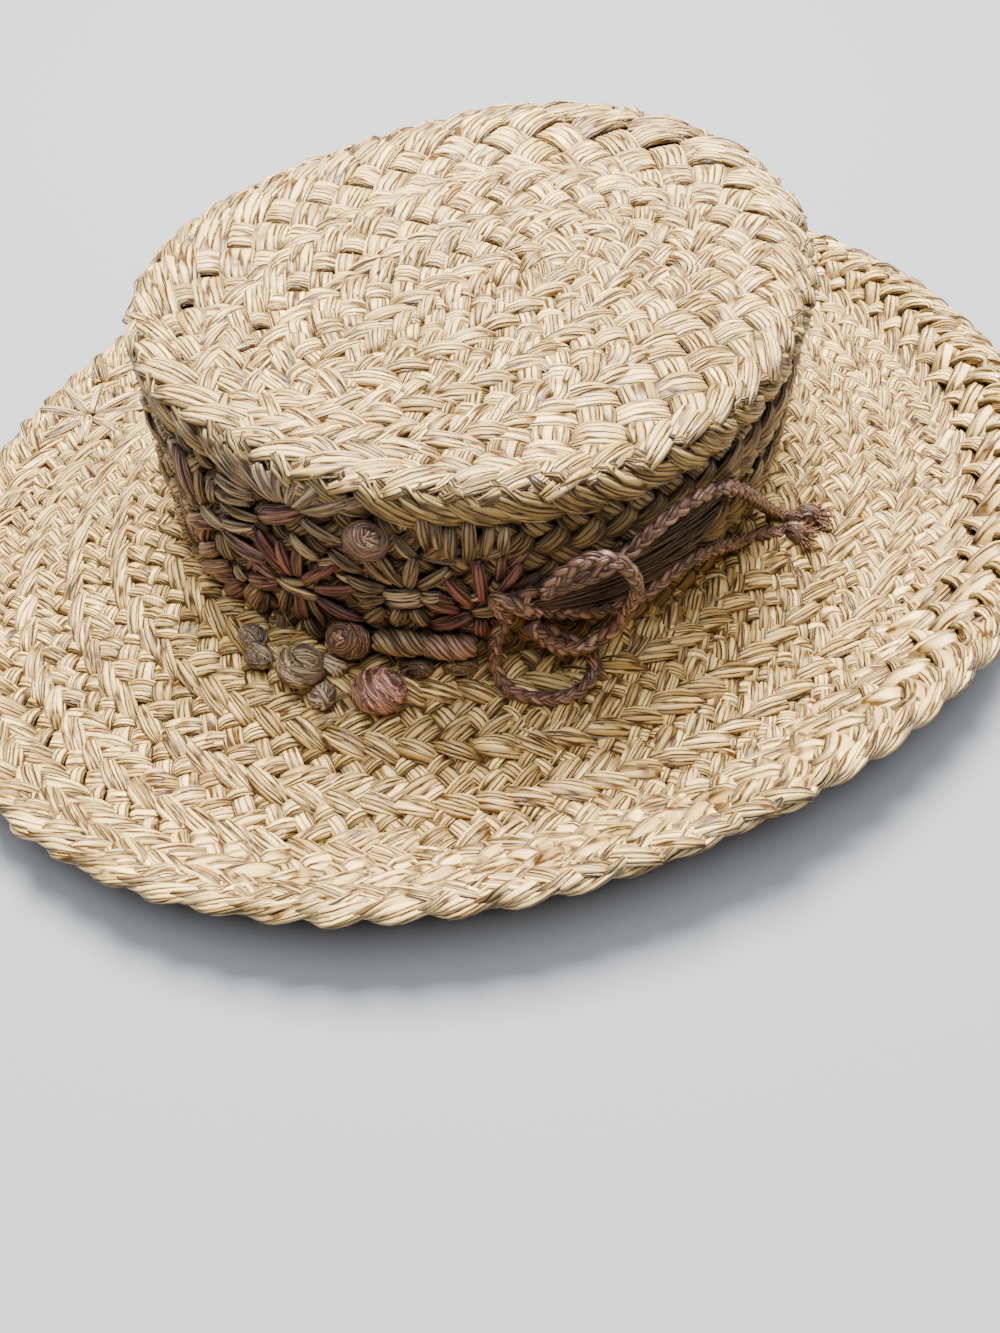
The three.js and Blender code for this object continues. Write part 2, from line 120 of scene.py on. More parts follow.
# The axes are the object's own, the place is in metres.
def standAt(made, right, up, back, at):
    bpy.context.scene.collection.objects.link(made)
    rows = [[float(column[i]) for column in (right, up, back, at)] for i in range(3)]
    made.matrix_world = Matrix(rows + [[0, 0, 0, 1]])


def addCamera(s):
    azimuth = math.radians(s["azimuth"])
    elevation = math.radians(s["elevation"])
    roll = math.radians(s["roll"])
    level = np.array([math.cos(azimuth), math.sin(azimuth), 0.0])
    back = np.array([level[1] * math.cos(elevation), -level[0] * math.cos(elevation), math.sin(elevation)])
    top = np.cross(back, level)
    data = bpy.data.cameras.new("photoCamera")
    data.lens = s["lens"]
    data.sensor_width = s["sensor"]
    data.clip_start = s["near"]
    made = bpy.data.objects.new("photoCamera", data)
    right = math.cos(roll) * level + math.sin(roll) * top
    up = math.cos(roll) * top - math.sin(roll) * level
    standAt(made, right, up, back, np.array(s["at"]) * millimetre)
    bpy.context.scene.camera = made


addCamera(camera)
print("camera placed")


# Materials. Every one is dyed or natural raffia: fine streaks that run along the strand.
def link(tree, start, end):
    tree.links.new(start, end)


def mixColour(tree, blend, amount, first, second):
    node = tree.nodes.new("ShaderNodeMix")
    node.data_type = "RGBA"
    node.blend_type = blend
    sockets = (node.inputs["Factor"], node.inputs["A"], node.inputs["B"])
    for socket, value in zip(sockets, (amount, first, second)):
        if isinstance(value, bpy.types.NodeSocket):
            link(tree, value, socket)
        elif isinstance(value, tuple):
            socket.default_value = (*value, 1)
        else:
            socket.default_value = value
    return node.outputs["Result"]


def ramp(tree, source, stops):
    node = tree.nodes.new("ShaderNodeValToRGB")
    link(tree, source, node.inputs["Fac"])
    while len(node.color_ramp.elements) < len(stops):
        node.color_ramp.elements.new(0.5)
    for element, (place, value) in zip(node.color_ramp.elements, stops):
        element.position = place
        element.color = (*value, 1) if isinstance(value, tuple) else (value, value, value, 1)
    return node.outputs["Color"]


def noise(tree, vector, s, scale=1.0):
    node = tree.nodes.new("ShaderNodeTexNoise")
    node.inputs["Scale"].default_value = scale
    node.inputs["Detail"].default_value = s["detail"]
    node.inputs["Roughness"].default_value = s["roughness"]
    link(tree, vector, node.inputs["Vector"])
    return node.outputs["Fac"]


def cells(tree, vector, feature, output):
    node = tree.nodes.new("ShaderNodeTexVoronoi")
    node.voronoi_dimensions = "2D"
    node.feature = feature
    node.inputs["Scale"].default_value = 1.0
    link(tree, vector, node.inputs["Vector"])
    return node.outputs[output]


def stretched(tree, source, along, across):
    node = tree.nodes.new("ShaderNodeMapping")
    node.inputs["Scale"].default_value = (along, across, 1)
    link(tree, source, node.inputs["Vector"])
    return node.outputs["Vector"]


def attribute(tree, name, output):
    node = tree.nodes.new("ShaderNodeAttribute")
    node.attribute_name = name
    return node.outputs[output]


# Patterns of raffia. along and across are scales on the strand. For fine and broken, across counts fibres.
# Stops are pairs of a place on a ramp and the value there.
white = (1.0, 1.0, 1.0)
patterns = {
    "fine": {"along": 0.9, "across": 2.6, "detail": 3.0, "roughness": 0.6},
    "broken": {"along": 1.6, "across": 0.5, "detail": 2.0, "roughness": 0.6},
    "wavy": {"along": 1.1, "across": 5.0, "detail": 2.0, "roughness": 0.5, "reach": 0.05},
    "patches": {"scale": 28.0, "detail": 3.0, "roughness": 0.6, "from": 0.45, "to": 0.75},
    "laneLength": 0.42, "usual": (0.3, (0.93, 0.9, 0.84)), "gap": (0.06, 0.2), "filled": 0.78,
    "brokenStops": [(0.4, 0.5), (0.55, 1.0)], "streakStops": [(0.34, 0.72), (0.47, 1.0), (0.68, 1.08)],
    "roundStops": [(0.0, 0.0), (0.12, 0.6), (0.4, 1.0)], "fineInBump": 0.25, "bumpDistance": 0.0008,
    "roughnessSpan": 0.1, "sheen": 0.03,
}


def raffia(name, s):
    p = patterns
    material = bpy.data.materials.new(name)
    material.use_nodes = True
    tree = material.node_tree
    shader = tree.nodes["Principled BSDF"]
    strand = tree.nodes.new("ShaderNodeUVMap")
    strand.uv_map = "strand"
    uv = strand.outputs["UV"]
    place = tree.nodes.new("ShaderNodeTexCoord").outputs["Object"]

    def streaky(part, fibres):
        return noise(tree, stretched(tree, uv, part["along"], part["across"] * fibres), part)

    fine = streaky(p["fine"], s["fibres"])
    broken = streaky(p["broken"], s["fibres"])
    bend = tree.nodes.new("ShaderNodeVectorMath")
    bend.operation = "MULTIPLY_ADD"
    bend.inputs[1].default_value = (0.0, p["wavy"]["reach"], 0.0)
    link(tree, streaky(p["wavy"], 1), bend.inputs[0])
    link(tree, uv, bend.inputs[2])
    lane = stretched(tree, bend.outputs["Vector"], p["laneLength"], s["fibres"])
    border = cells(tree, lane, "DISTANCE_TO_EDGE", "Distance")
    split = tree.nodes.new("ShaderNodeSeparateColor")
    link(tree, cells(tree, lane, "F1", "Color"), split.inputs["Color"])
    patches = noise(tree, place, p["patches"], p["patches"]["scale"])
    patchStops = [(p["patches"]["from"], 0.0), (p["patches"]["to"], s["patch"])]
    # Painted shade in the grooves between fibres: thin dark lines along the edges of the fibre lanes.
    gapShade = ramp(tree, border, [(0.0, s["gap"]), (p["gap"][0], s["gap"]), (p["gap"][1], white)])
    toned = ramp(tree, attribute(tree, "tone", "Fac"), [(0.0, 0.0), (1.0, 1.0)])
    colour = mixColour(tree, "MIX", toned, s["dark"], s["light"])
    # The tint carries the dyes, the painted shade of the crown's side and the dark colour of the
    # painted-shade sheet.
    colour = mixColour(tree, "MULTIPLY", 1.0, colour, attribute(tree, "tint", "Color"))
    colour = mixColour(tree, "MIX", ramp(tree, patches, patchStops), colour, s["patchColour"])
    # The last layer is painted shade: the hollow colour darkens low shade depth, in cracks, under crossing
    # strands and at strand edges.
    for layer in (
        ramp(tree, split.outputs["Red"], [(0.0, s["fibreDark"]), p["usual"], (1.0, s["fibreLight"])]),
        mixColour(tree, "MIX", ramp(tree, broken, p["brokenStops"]), white, gapShade),
        ramp(tree, fine, p["streakStops"]),
        ramp(tree, attribute(tree, "depth", "Fac"), [(0.0, s["hollow"]), (p["filled"], white)]),
    ):
        colour = mixColour(tree, "MULTIPLY", 1.0, colour, layer)
    link(tree, colour, shader.inputs["Base Color"])
    rough = tree.nodes.new("ShaderNodeMapRange")
    rough.inputs["To Min"].default_value = s["roughness"] + p["roughnessSpan"]
    rough.inputs["To Max"].default_value = s["roughness"] - p["roughnessSpan"]
    link(tree, fine, rough.inputs["Value"])
    link(tree, rough.outputs["Result"], shader.inputs["Roughness"])
    shader.inputs["Specular IOR Level"].default_value = s["specular"]
    shader.inputs["Sheen Weight"].default_value = p["sheen"]
    bump = tree.nodes.new("ShaderNodeBump")
    bump.inputs["Strength"].default_value = s["bump"]
    bump.inputs["Distance"].default_value = p["bumpDistance"]
    height = mixColour(tree, "MIX", p["fineInBump"], ramp(tree, border, p["roundStops"]), fine)
    link(tree, height, bump.inputs["Height"])
    link(tree, bump.outputs["Normal"], shader.inputs["Normal"])
    return material


strawFinish = {
    "dark": (0.52, 0.35, 0.14), "light": (1.0, 0.73, 0.30), "patch": 0.2, "patchColour": (0.66, 0.38, 0.12),
    "fibres": 13.0, "fibreDark": (0.64, 0.53, 0.36), "fibreLight": (1.42, 1.4, 1.36),
    "gap": (0.12, 0.072, 0.03), "hollow": (0.07, 0.038, 0.015),
    "roughness": 0.36, "specular": 0.42, "bump": 1.0,
}
dyedFinish = {
    "dark": (0.46, 0.445, 0.43), "light": (1.24, 1.22, 1.2), "patch": 0.2, "patchColour": (0.12, 0.06, 0.035),
    "fibres": 16.0, "fibreDark": (0.62, 0.57, 0.52), "fibreLight": (1.3, 1.28, 1.25),
    "gap": (0.2, 0.16, 0.13), "hollow": (0.1, 0.08, 0.07),
    "roughness": 0.42, "specular": 0.6, "bump": 1.0,
}
# Painted shade: the crown's side gets a copy of the straw several times darker, for a wall that faces away
# from the light.
shadedSideFinish = {**strawFinish, "dark": (0.134, 0.083, 0.038), "light": (0.268, 0.189, 0.091)}
tipStraw = raffia("tipStraw", {**strawFinish, "dark": (0.53, 0.36, 0.15), "light": (1.0, 0.73, 0.31)})
sideStraw = raffia("sideStraw", shadedSideFinish)
brimStraw = raffia("brimStraw", strawFinish)
dyedRaffia = raffia("dyedRaffia", dyedFinish)
print("materials made")


# Strands. A part is one tube: its vertices, its faces and the values that the material reads.
def unit(vectors):
    return vectors / np.maximum(np.linalg.norm(vectors, axis=-1, keepdims=True), 1e-9)


# The cross-section of a strand. fibreWidth: half the width of one that shows the whole count of fibres.
# edgeShade: how much nearer to the bottom of a crack its two edges count, which paints crack shade on them.
section = {
    "lobes": 5, "lobeTurn": 0.6, "flatPower": 0.8, "thickPower": 0.75, "fibreWidth": 3.4,
    "fibreShare": (0.22, 1.2), "edgeShade": 0.88, "edgePower": 4, "patternLength": 10.0, "patternSpread": 400,
}


def signedPower(values, power):
    return np.sign(values) * np.abs(values) ** power


# depth: painted shade, from 0, darkest, to 1, none. The two edges of each tube take more of it.
# The random generator is only used for where along the pattern the strand starts.
def tube(
    line, normals, halfWidth, halfThick, sides, tone, rng=None,
    depth=1.0, tint=white, lobes=0.0, shade=section["edgeShade"],
):
    s = section
    count = len(line)
    start = rng.uniform(0, s["patternSpread"]) if rng else 0.0
    along = unit(np.gradient(line, axis=0))
    across = unit(np.cross(normals, along))
    outward = np.cross(along, across)
    turn = 2 * np.pi * np.arange(sides) / sides
    swell = 1 + lobes * np.cos(s["lobes"] * turn + s["lobeTurn"])
    flat = (np.zeros(count) + halfWidth)[:, None] * signedPower(np.cos(turn), s["flatPower"])
    thick = (np.zeros(count) + halfThick)[:, None] * signedPower(np.sin(turn), s["thickPower"]) * swell
    places = line[:, None, :] + flat[..., None] * across[:, None, :] + thick[..., None] * outward[:, None, :]
    travelled = start + lengthAlong(line) / s["patternLength"]
    ring = np.arange(sides)
    after = (ring + 1) % sides
    first = (np.arange(count - 1) * sides)[:, None]
    quads = np.stack([first + ring, first + after, first + sides + after, first + sides + ring], -1)
    u = np.stack([travelled[:-1], travelled[:-1], travelled[1:], travelled[1:]], -1)
    u = np.repeat(u[:, None, :], sides, 1)
    fibreShare = np.clip(np.mean(halfWidth) / s["fibreWidth"], *s["fibreShare"])
    v = np.stack([ring, ring + 1, ring + 1, ring], -1) / sides * fibreShare
    v = np.repeat(v[None], count - 1, 0)
    paintedEdgeShade = 1 - shade * np.abs(np.cos(turn)) ** s["edgePower"]
    return {
        "places": places.reshape(-1, 3), "quads": quads.reshape(-1, 4),
        "uv": np.stack([u, v], -1).reshape(-1, 2),
        "ends": [list(range(sides))[::-1], [(count - 1) * sides + i for i in range(sides)]],
        "endUv": [[travelled[0], 0]] * sides + [[travelled[-1], 0]] * sides,
        "tone": np.repeat(np.zeros(count) + tone, sides),
        "depth": np.repeat(np.zeros(count) + depth, sides) * np.tile(paintedEdgeShade, count),
        "tint": np.repeat(np.zeros((count, 3)) + np.array(tint, float), sides, 0),
    }


def tones(rng, average, spread, count=None):
    return np.clip(rng.normal(average, spread, count), 0, 1)


lowest = 0.03  # No point of the hat comes nearer to the floor.


def joined(name, parts, material, slotName, *nodes):
    base = 0
    corners = []
    sizes = []
    uv = []
    for part in parts:
        corners.append((part["quads"] + base).reshape(-1))
        sizes.append(np.full(len(part["quads"]), 4))
        uv.append(part["uv"])
        for end in part["ends"]:
            corners.append(np.array(end) + base)
            sizes.append(np.array([len(end)]))
        if part["ends"]:
            uv.append(np.array(part["endUv"], float))
        base += len(part["places"])
    places = np.concatenate([part["places"] for part in parts])
    places[:, 2] = np.maximum(places[:, 2], lowest)
    corners = np.concatenate(corners)
    sizes = np.concatenate(sizes)
    mesh = bpy.data.meshes.new(name)
    mesh.vertices.add(len(places))
    mesh.vertices.foreach_set("co", (places * millimetre).astype(np.float32).reshape(-1))
    mesh.loops.add(len(corners))
    mesh.loops.foreach_set("vertex_index", corners.astype(np.int32))
    mesh.polygons.add(len(sizes))
    starts = np.concatenate([[0], np.cumsum(sizes)[:-1]])
    mesh.polygons.foreach_set("loop_start", starts.astype(np.int32))
    mesh.polygons.foreach_set("use_smooth", np.ones(len(sizes), bool))
    mesh.uv_layers.new(name="strand")
    mesh.uv_layers["strand"].data.foreach_set("uv", np.concatenate(uv).astype(np.float32).reshape(-1))
    for key in ("tone", "depth"):
        values = np.concatenate([part[key] for part in parts]).astype(np.float32)
        mesh.attributes.new(key, "FLOAT", "POINT").data.foreach_set("value", values)
    tint = np.concatenate([part["tint"] for part in parts])
    tint = np.concatenate([tint, np.ones((len(tint), 1))], 1).astype(np.float32)
    mesh.attributes.new("tint", "FLOAT_COLOR", "POINT").data.foreach_set("color", tint.reshape(-1))
    mesh.update(calc_edges=True)
    mesh.materials.append(material)
    piece = bpy.data.objects.new(name, mesh)
    bpy.context.scene.collection.objects.link(piece)
    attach(piece, "root")
    if nodes:
        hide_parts(*nodes)
    print(name, sum(int(n) - 2 for n in sizes), "triangles")
    return piece


# The CAD node that a visible piece of the same name stands for.
def nodeOf(name):
    return "".join("_" + letter.lower() if letter.isupper() else letter for letter in name)


# Dyes, linear.
dyes = {
    "taupe": (0.54, 0.40, 0.27), "olive": (0.34, 0.24, 0.13), "strawOlive": (0.62, 0.47, 0.28),
    "brown": (0.20, 0.125, 0.075), "brownRose": (0.24, 0.105, 0.072), "dustyRose": (0.38, 0.17, 0.135),
    "darkRose": (0.26, 0.085, 0.07), "tanRose": (0.47, 0.26, 0.18), "mauve": (0.32, 0.18, 0.145),
    "berryRose": (0.70, 0.35, 0.27), "berryOlive": (0.49, 0.35, 0.205), "berryTan": (0.23, 0.118, 0.076),
    "lump": (0.38, 0.28, 0.195), "cord": (0.37, 0.2, 0.145), "knot": (0.54, 0.3, 0.22),
    "fray": (0.55, 0.24, 0.11), "straw": (1.17, 0.85, 0.45),
}


# Cords. A route's points are where the middle of the cord lies on the hat.
def smoothRoute(points, spacing):
    p = np.array(points, float)
    p = np.concatenate([[2 * p[0] - p[1]], p, [2 * p[-1] - p[-2]]])
    share = np.linspace(0, 1, 40, endpoint=False)[:, None]
    line = []
    for a, b, c, d in zip(p[:-3], p[1:-2], p[2:-1], p[3:]):
        before = np.linalg.norm(b - a) ** 0.5
        here = np.linalg.norm(c - b) ** 0.5
        after = np.linalg.norm(d - c) ** 0.5
        leave = ((b - a) / before - (c - a) / (before + here) + (c - b) / here) * here
        arrive = ((c - b) / here - (d - b) / (here + after) + (d - c) / after) * here
        line.append(
            (2 * share ** 3 - 3 * share ** 2 + 1) * b + (share ** 3 - 2 * share ** 2 + share) * leave
            + (3 * share ** 2 - 2 * share ** 3) * c + (share ** 3 - share ** 2) * arrive
        )
    line = np.concatenate(line + [p[-2:-1]])
    length = lengthAlong(line)
    even = np.linspace(0, length[-1], max(3, round(length[-1] / spacing)))
    return np.stack([np.interp(even, length, line[:, i]) for i in range(3)], -1)


cord = {
    "diameter": 4.2, "period": 12.6, "across": 0.95, "up": 0.62, "halfWidth": 1.28, "halfThick": 0.98,
    "sides": 10, "spacing": 0.6, "seed": 5, "lean": 0.55, "widths": (0.86, 1.1), "tone": (0.5, 0.28),
    "lobes": 0.08,
}


def braid(line, s, rng, tint, outward=None):
    along = unit(np.gradient(line, axis=0))
    if outward is None:
        radial = unit(line[:, :2] - np.array([tipOval["x"], tipOval["y"]]))
        outward = withHeight(radial, 0.9)
    outward = unit(outward - along * np.sum(outward * along, axis=1, keepdims=True))
    across = np.cross(outward, along)
    travelled = lengthAlong(line)
    start = rng.uniform(0, 1)
    parts = []
    for strand in range(3):
        phase = 2 * np.pi * (travelled / s["period"] + strand / 3 + start)
        sideways = across * (s["across"] * np.sin(phase))[:, None]
        normals = unit(outward + across * (s["lean"] * np.sin(phase))[:, None])
        knots = np.arange(0, travelled[-1] + s["period"], s["period"] / 2)
        wide = np.interp(travelled, knots, rng.uniform(*s["widths"], len(knots)))
        tone = np.interp(travelled, knots, tones(rng, *s["tone"], len(knots)))
        parts.append(tube(
            line + sideways + outward * (s["up"] * np.sin(2 * phase))[:, None], normals,
            s["halfWidth"] * wide, s["halfThick"], s["sides"], tone, rng,
            depth=0.55 + 0.45 * np.sin(2 * phase), tint=tint, lobes=s["lobes"],
        ))
    return parts


routes = {
    "loopUpper": {"farEnd": "object", "points": [
        (-60.8, -84, 41.6), (-58.2, -86, 36.5), (-54, -88, 31), (-47.5, -90.5, 27), (-42, -93, 29),
        (-38, -95.5, 34), (-36.5, -97.5, 43), (-37.5, -99.5, 53), (-41, -98, 61.5), (-45, -94.5, 65),
        (-49.5, -90.8, 64), (-54, -87.6, 59.5), (-57.8, -85.9, 54.5),
    ]},
    "loopLower": {"farEnd": "object", "points": [
        (-61.6, -76.2, 39.8), (-64.2, -75.4, 35), (-66, -75.2, 29.5), (-66.8, -76, 23.5), (-67.2, -79, 18.8),
        (-66.2, -83.2, 16.2), (-62.5, -88.2, 15), (-57.2, -92.8, 14.5), (-51.5, -95, 15), (-46.2, -94.4, 16),
        (-42.8, -92, 18.3), (-43.6, -89, 22), (-47.6, -86.2, 26.5), (-52.4, -83, 32), (-56.6, -80.2, 37.6),
    ]},
    "tailUpper": {"farEnd": "knot", "points": [
        (-54.7, -81.8, 47.9), (-50, -84.8, 50.2), (-45, -88, 51.8), (-40.5, -90.4, 53.5), (-36.5, -92, 56),
        (-30, -93.8, 60), (-24, -95.2, 63.6), (-16.5, -96.2, 65.6), (-8, -97, 65), (0.5, -97.4, 61.5),
        (10, -97.2, 53), (21, -95, 41.5), (32, -92.5, 29.5), (40, -91.5, 21.3), (45.4, -93.1, 17),
        (50, -94.7, 15.6),
    ]},
    "tailLower": {"farEnd": "knot", "points": [
        (-55.4, -81.3, 43), (-50.2, -83.9, 39.2), (-42.3, -87.1, 35.8), (-34.4, -90.1, 33.8),
        (-26.3, -92.6, 33.6),
        (-19, -94.2, 36), (-12.5, -95.2, 38), (-4.3, -95.8, 37.4), (7.6, -95.2, 32), (16, -93.8, 26),
        (25.1, -92.2, 20.6), (34, -93.9, 17.8), (40, -96, 16.3),
    ]},
}
tailEnds = {
    "tailUpperEnd": {"at": (53.2, -95.9, 14.9), "towards": (5, -3.6, -1.2)},
    "tailLowerEnd": {"at": (42.6, -98.4, 15.4), "towards": (3, -4.6, -1.2)},
}
fray = {
    "radii": (3.5, 3.3, 2.8), "wraps": 11, "wrapWidth": 1.5, "fibres": 60, "from": 2.2, "length": (3.6, 6.6),
    "spread": 0.75, "thick": 0.22, "sides": 5, "seed": 7,
}


# A ball wound from strands that go round it. radii: along, across and out of the surface.
# The first wraps lie every way, and the rest lean to one axis. high: how far from the widest ring.
ball = {
    "wraps": 17, "halfWidth": 2.3, "forRadius": 6, "halfThick": 0.5, "steps": 22, "sides": 6, "under": 0.45,
    "lean": 0.22, "highUnder": 0.3, "high": 0.72, "inner": 0.95, "growth": 0.07, "goesRound": 0.97,
    "core": 0.97, "coreSteps": 11, "coreSides": 12, "coreTone": 0.3, "tone": (0.55, 0.3), "lobes": 0.1,
    "shade": 0.4,
}


def woundBall(centre, axes, radii, tint, s, rng, turnAxis=(0.3, 1.0, 0.15)):
    radii = np.array(radii, float)
    share = np.linspace(-1, 1, s["coreSteps"])
    girth = np.sqrt(np.clip(1 - share ** 2, 0.02, 1)) * s["core"]
    parts = [tube(
        centre + axes[0] * (share * radii[0] * s["core"])[:, None], np.tile(axes[2], (len(share), 1)),
        radii[1] * girth, radii[2] * girth, s["coreSides"], s["coreTone"], depth=0.6, tint=tint,
    )]
    for wrap in range(s["wraps"]):
        under = wrap < s["wraps"] * s["under"]
        axis = unit(rng.normal(0, 1, 3) if under else np.array(turnAxis) + rng.normal(0, s["lean"], 3))
        first = unit(np.cross(axis, [0.1, 0.2, 1.0]))
        second = np.cross(axis, first)
        most = s["highUnder"] if under else s["high"]
        high = rng.uniform(-most, most)
        ring = math.sqrt(1 - high ** 2)
        turn = rng.uniform(0, 2 * np.pi) + np.linspace(0, 2 * np.pi * s["goesRound"], s["steps"])
        onBall = axis * high + ring * (np.cos(turn)[:, None] * first + np.sin(turn)[:, None] * second)
        local = onBall * radii * (s["inner"] + s["growth"] * wrap / s["wraps"])
        swell = 0.75 + 0.35 * np.sin(turn * 2 + rng.uniform(0, 6)) ** 2
        parts.append(tube(
            centre + local @ axes, unit(onBall / radii) @ axes,
            s["halfWidth"] * radii[0] / s["forRadius"] * swell,
            s["halfThick"], s["sides"], tones(rng, *s["tone"]), rng,
            depth=0.6 + 0.4 * wrap / s["wraps"], tint=tint, lobes=s["lobes"], shade=s["shade"],
        ))
    return parts


def axesFrom(right, outward):
    right = unit(np.array(right, float))
    outward = np.array(outward, float)
    outward = unit(outward - right * np.dot(right, outward))
    return np.stack([right, np.cross(outward, right), outward])


def makeTailEnds(s):
    rng = np.random.default_rng(s["seed"])
    wound = {**ball, "wraps": s["wraps"], "halfWidth": s["wrapWidth"]}
    made = {}
    for name, end in tailEnds.items():
        axes = axesFrom(end["towards"], (0, 0, 1))
        centre = np.array(end["at"], float)
        parts = woundBall(centre, axes, s["radii"], dyes["cord"], wound, rng)
        for fibre in range(s["fibres"]):
            spread = rng.normal(0, s["spread"], 2)
            way = unit(axes[0] + axes[1] * spread[0] + axes[2] * (0.35 * spread[1] + 0.12))
            length = rng.uniform(*s["length"])
            share = np.linspace(0, 1, 6)
            bend = axes[1] * rng.normal(0, 0.9) + axes[2] * rng.normal(-0.2, 0.6)
            parts.append(tube(
                centre + way * (s["from"] + length * share)[:, None] + bend * (share ** 2)[:, None],
                np.tile(axes[2], (len(share), 1)), s["thick"] * (1.15 - 0.7 * share), s["thick"], s["sides"],
                rng.uniform(0.1, 0.9), rng, depth=0.55 + 0.45 * share, tint=dyes["fray"],
            ))
        made[name] = joined(name, parts, dyedRaffia, "raffia_fray", nodeOf(name))
    return made


def makeCords(s, ends):
    rng = np.random.default_rng(s["seed"])
    for name, r in routes.items():
        line = smoothRoute(r["points"], s["spacing"])
        piece = joined(name, braid(line, s, rng, dyes["cord"]), dyedRaffia, "raffia_cord", nodeOf(name))
        path = line * millimetre
        length = float(lengthAlong(path)[-1])
        print(name, round(length * 1000), "mm long")


makeCords(cord, makeTailEnds(fray))

# Plait. Five strands go to and fro across a row at 45 degrees, over one and under the next.
# A row has a place function: where round the row, where across it (0 to 1) and mm above it.
# The length of a row is counted in cells, each as long as one strand's share of the width.
plait = {
    "strands": 5, "steps": 3.5, "rise": 1.65, "thick": 1.45, "fold": 0.34, "fill": 0.69, "lap": 0.1,
    "tilt": 0.5, "samples": 700, "overlap": 0.3, "wander": 0.0075, "widths": (0.92, 1.12), "lift": 0.16,
    "tone": (0.64, 0.32), "crestFrom": 0.72, "crestOver": 0.2, "thickFor": 4.6, "thickness": (0.6, 1.25),
    "lobes": 0.22,
}


def acrossRow(progress, strands):
    near = plait["fold"]
    toEdge = np.abs((progress % (2 * strands)) - strands)
    q = strands - np.sqrt(toEdge ** 2 + near ** 2) + near * 0.5
    return (np.sqrt(q ** 2 + near ** 2) - near * 0.5) / strands


def overUnder(progress, strands):
    q = progress % strands
    middle = np.clip(1.35 * np.cos(np.pi * (q - 1)), -1, 1)
    fold = -np.cos(np.pi * (np.where(q < 1, q + strands, q) - strands + 1) / 2)
    return np.where((q >= 1) & (q <= strands - 1), middle, fold)


def plaitRow(place, start, end, s, sides, rng, closed=True, edge=0.0, tint=None):
    turns = np.linspace(start, end, s["samples"])
    inner, middle, outer = (place(turns, np.full(len(turns), across), 0.0) for across in (0.0, 0.5, 1.0))
    strands = s["strands"]
    spread = 1 + 2 * s["lap"]
    width = np.linalg.norm(outer - inner, axis=1) * spread
    step = np.linalg.norm(np.diff(middle, axis=0), axis=1)
    counted = np.concatenate([[0], np.cumsum(step / ((width[1:] + width[:-1]) / 2) * strands)])
    total = 2 * round(counted[-1] / 2) if closed else counted[-1]
    counted = counted * total / counted[-1]
    knots = np.arange(int(total) + 3)
    progress = np.linspace(0, total + (s["overlap"] if closed else 0), int(total * s["steps"]) + 1)
    turn = np.interp(progress, counted, turns)
    if closed:
        turn = turn + np.clip(progress - total, 0, None) * (turns[-1] - turns[0]) / total
    size = np.interp(turn, turns, width) / strands
    parts = []
    for strand in range(strands):
        phase = progress + 2 * strand
        lateral = acrossRow(phase, strands)
        high = overUnder(phase, strands)
        wander = np.interp(progress, knots, rng.normal(0, s["wander"], len(knots)))
        wide = np.interp(progress, knots, rng.uniform(*s["widths"], len(knots)))
        lift = np.interp(progress, knots, rng.normal(0, s["lift"], len(knots)))
        tone = np.interp(progress, knots, tones(rng, *s["tone"], len(knots)))
        across = (lateral + wander) * spread - s["lap"]
        crest = edge * np.clip((lateral - s["crestFrom"]) / s["crestOver"], 0, 1)
        height = s["rise"] * high + lift + s["tilt"] * (2 * lateral - 1) + crest
        line = place(turn, across, height)
        normals = unit(place(turn, across, height + 1.0) - line)
        thick = s["thick"] * np.clip(size / s["thickFor"], *s["thickness"]) * (0.85 + 0.15 * wide)
        # Painted shade where a strand dives under the next one.
        parts.append(tube(
            line, normals, size * s["fill"] * wide * (0.94 + 0.1 * high), thick, sides, tone, rng,
            depth=0.5 + 0.5 * high, tint=tint(turn) if tint else white, lobes=s["lobes"],
        ))
    return parts


# Painted shade: a dark sheet inside each wall of plait, seen only in the cracks between the strands, where it
# stands in for the shade down there.
shadeSheet = {"half": 0.35, "steps": 200, "rows": 18, "tint": (0.22, 0.15, 0.08)}
shadeSheetUv = [[0.0, 0.0], [0.0, 0.3], [0.4, 0.3], [0.4, 0.0]]


def paintedShadeSheet(place, s):
    ring = 2 * s["rows"]
    turn = np.repeat(np.linspace(0, 2 * np.pi, s["steps"], endpoint=False), ring)
    across = np.linspace(0, 1, s["rows"])
    across = np.tile(np.concatenate([across, across[::-1]]), s["steps"])
    over = np.tile(np.repeat([s["half"], -s["half"]], s["rows"]), s["steps"])
    first = (np.arange(s["steps"]) * ring)[:, None]
    here = np.arange(ring)
    after = (here + 1) % ring
    count = len(turn)
    quads = np.stack([first + ring + here, first + ring + after, first + after, first + here], -1)
    quads = quads.reshape(-1, 4) % count
    return {
        "places": place(turn, across, over), "quads": quads, "ends": [], "endUv": [],
        "uv": np.tile(shadeSheetUv, (len(quads), 1)),
        "tone": np.zeros(count), "depth": np.ones(count), "tint": np.tile(s["tint"], (count, 1)),
    }


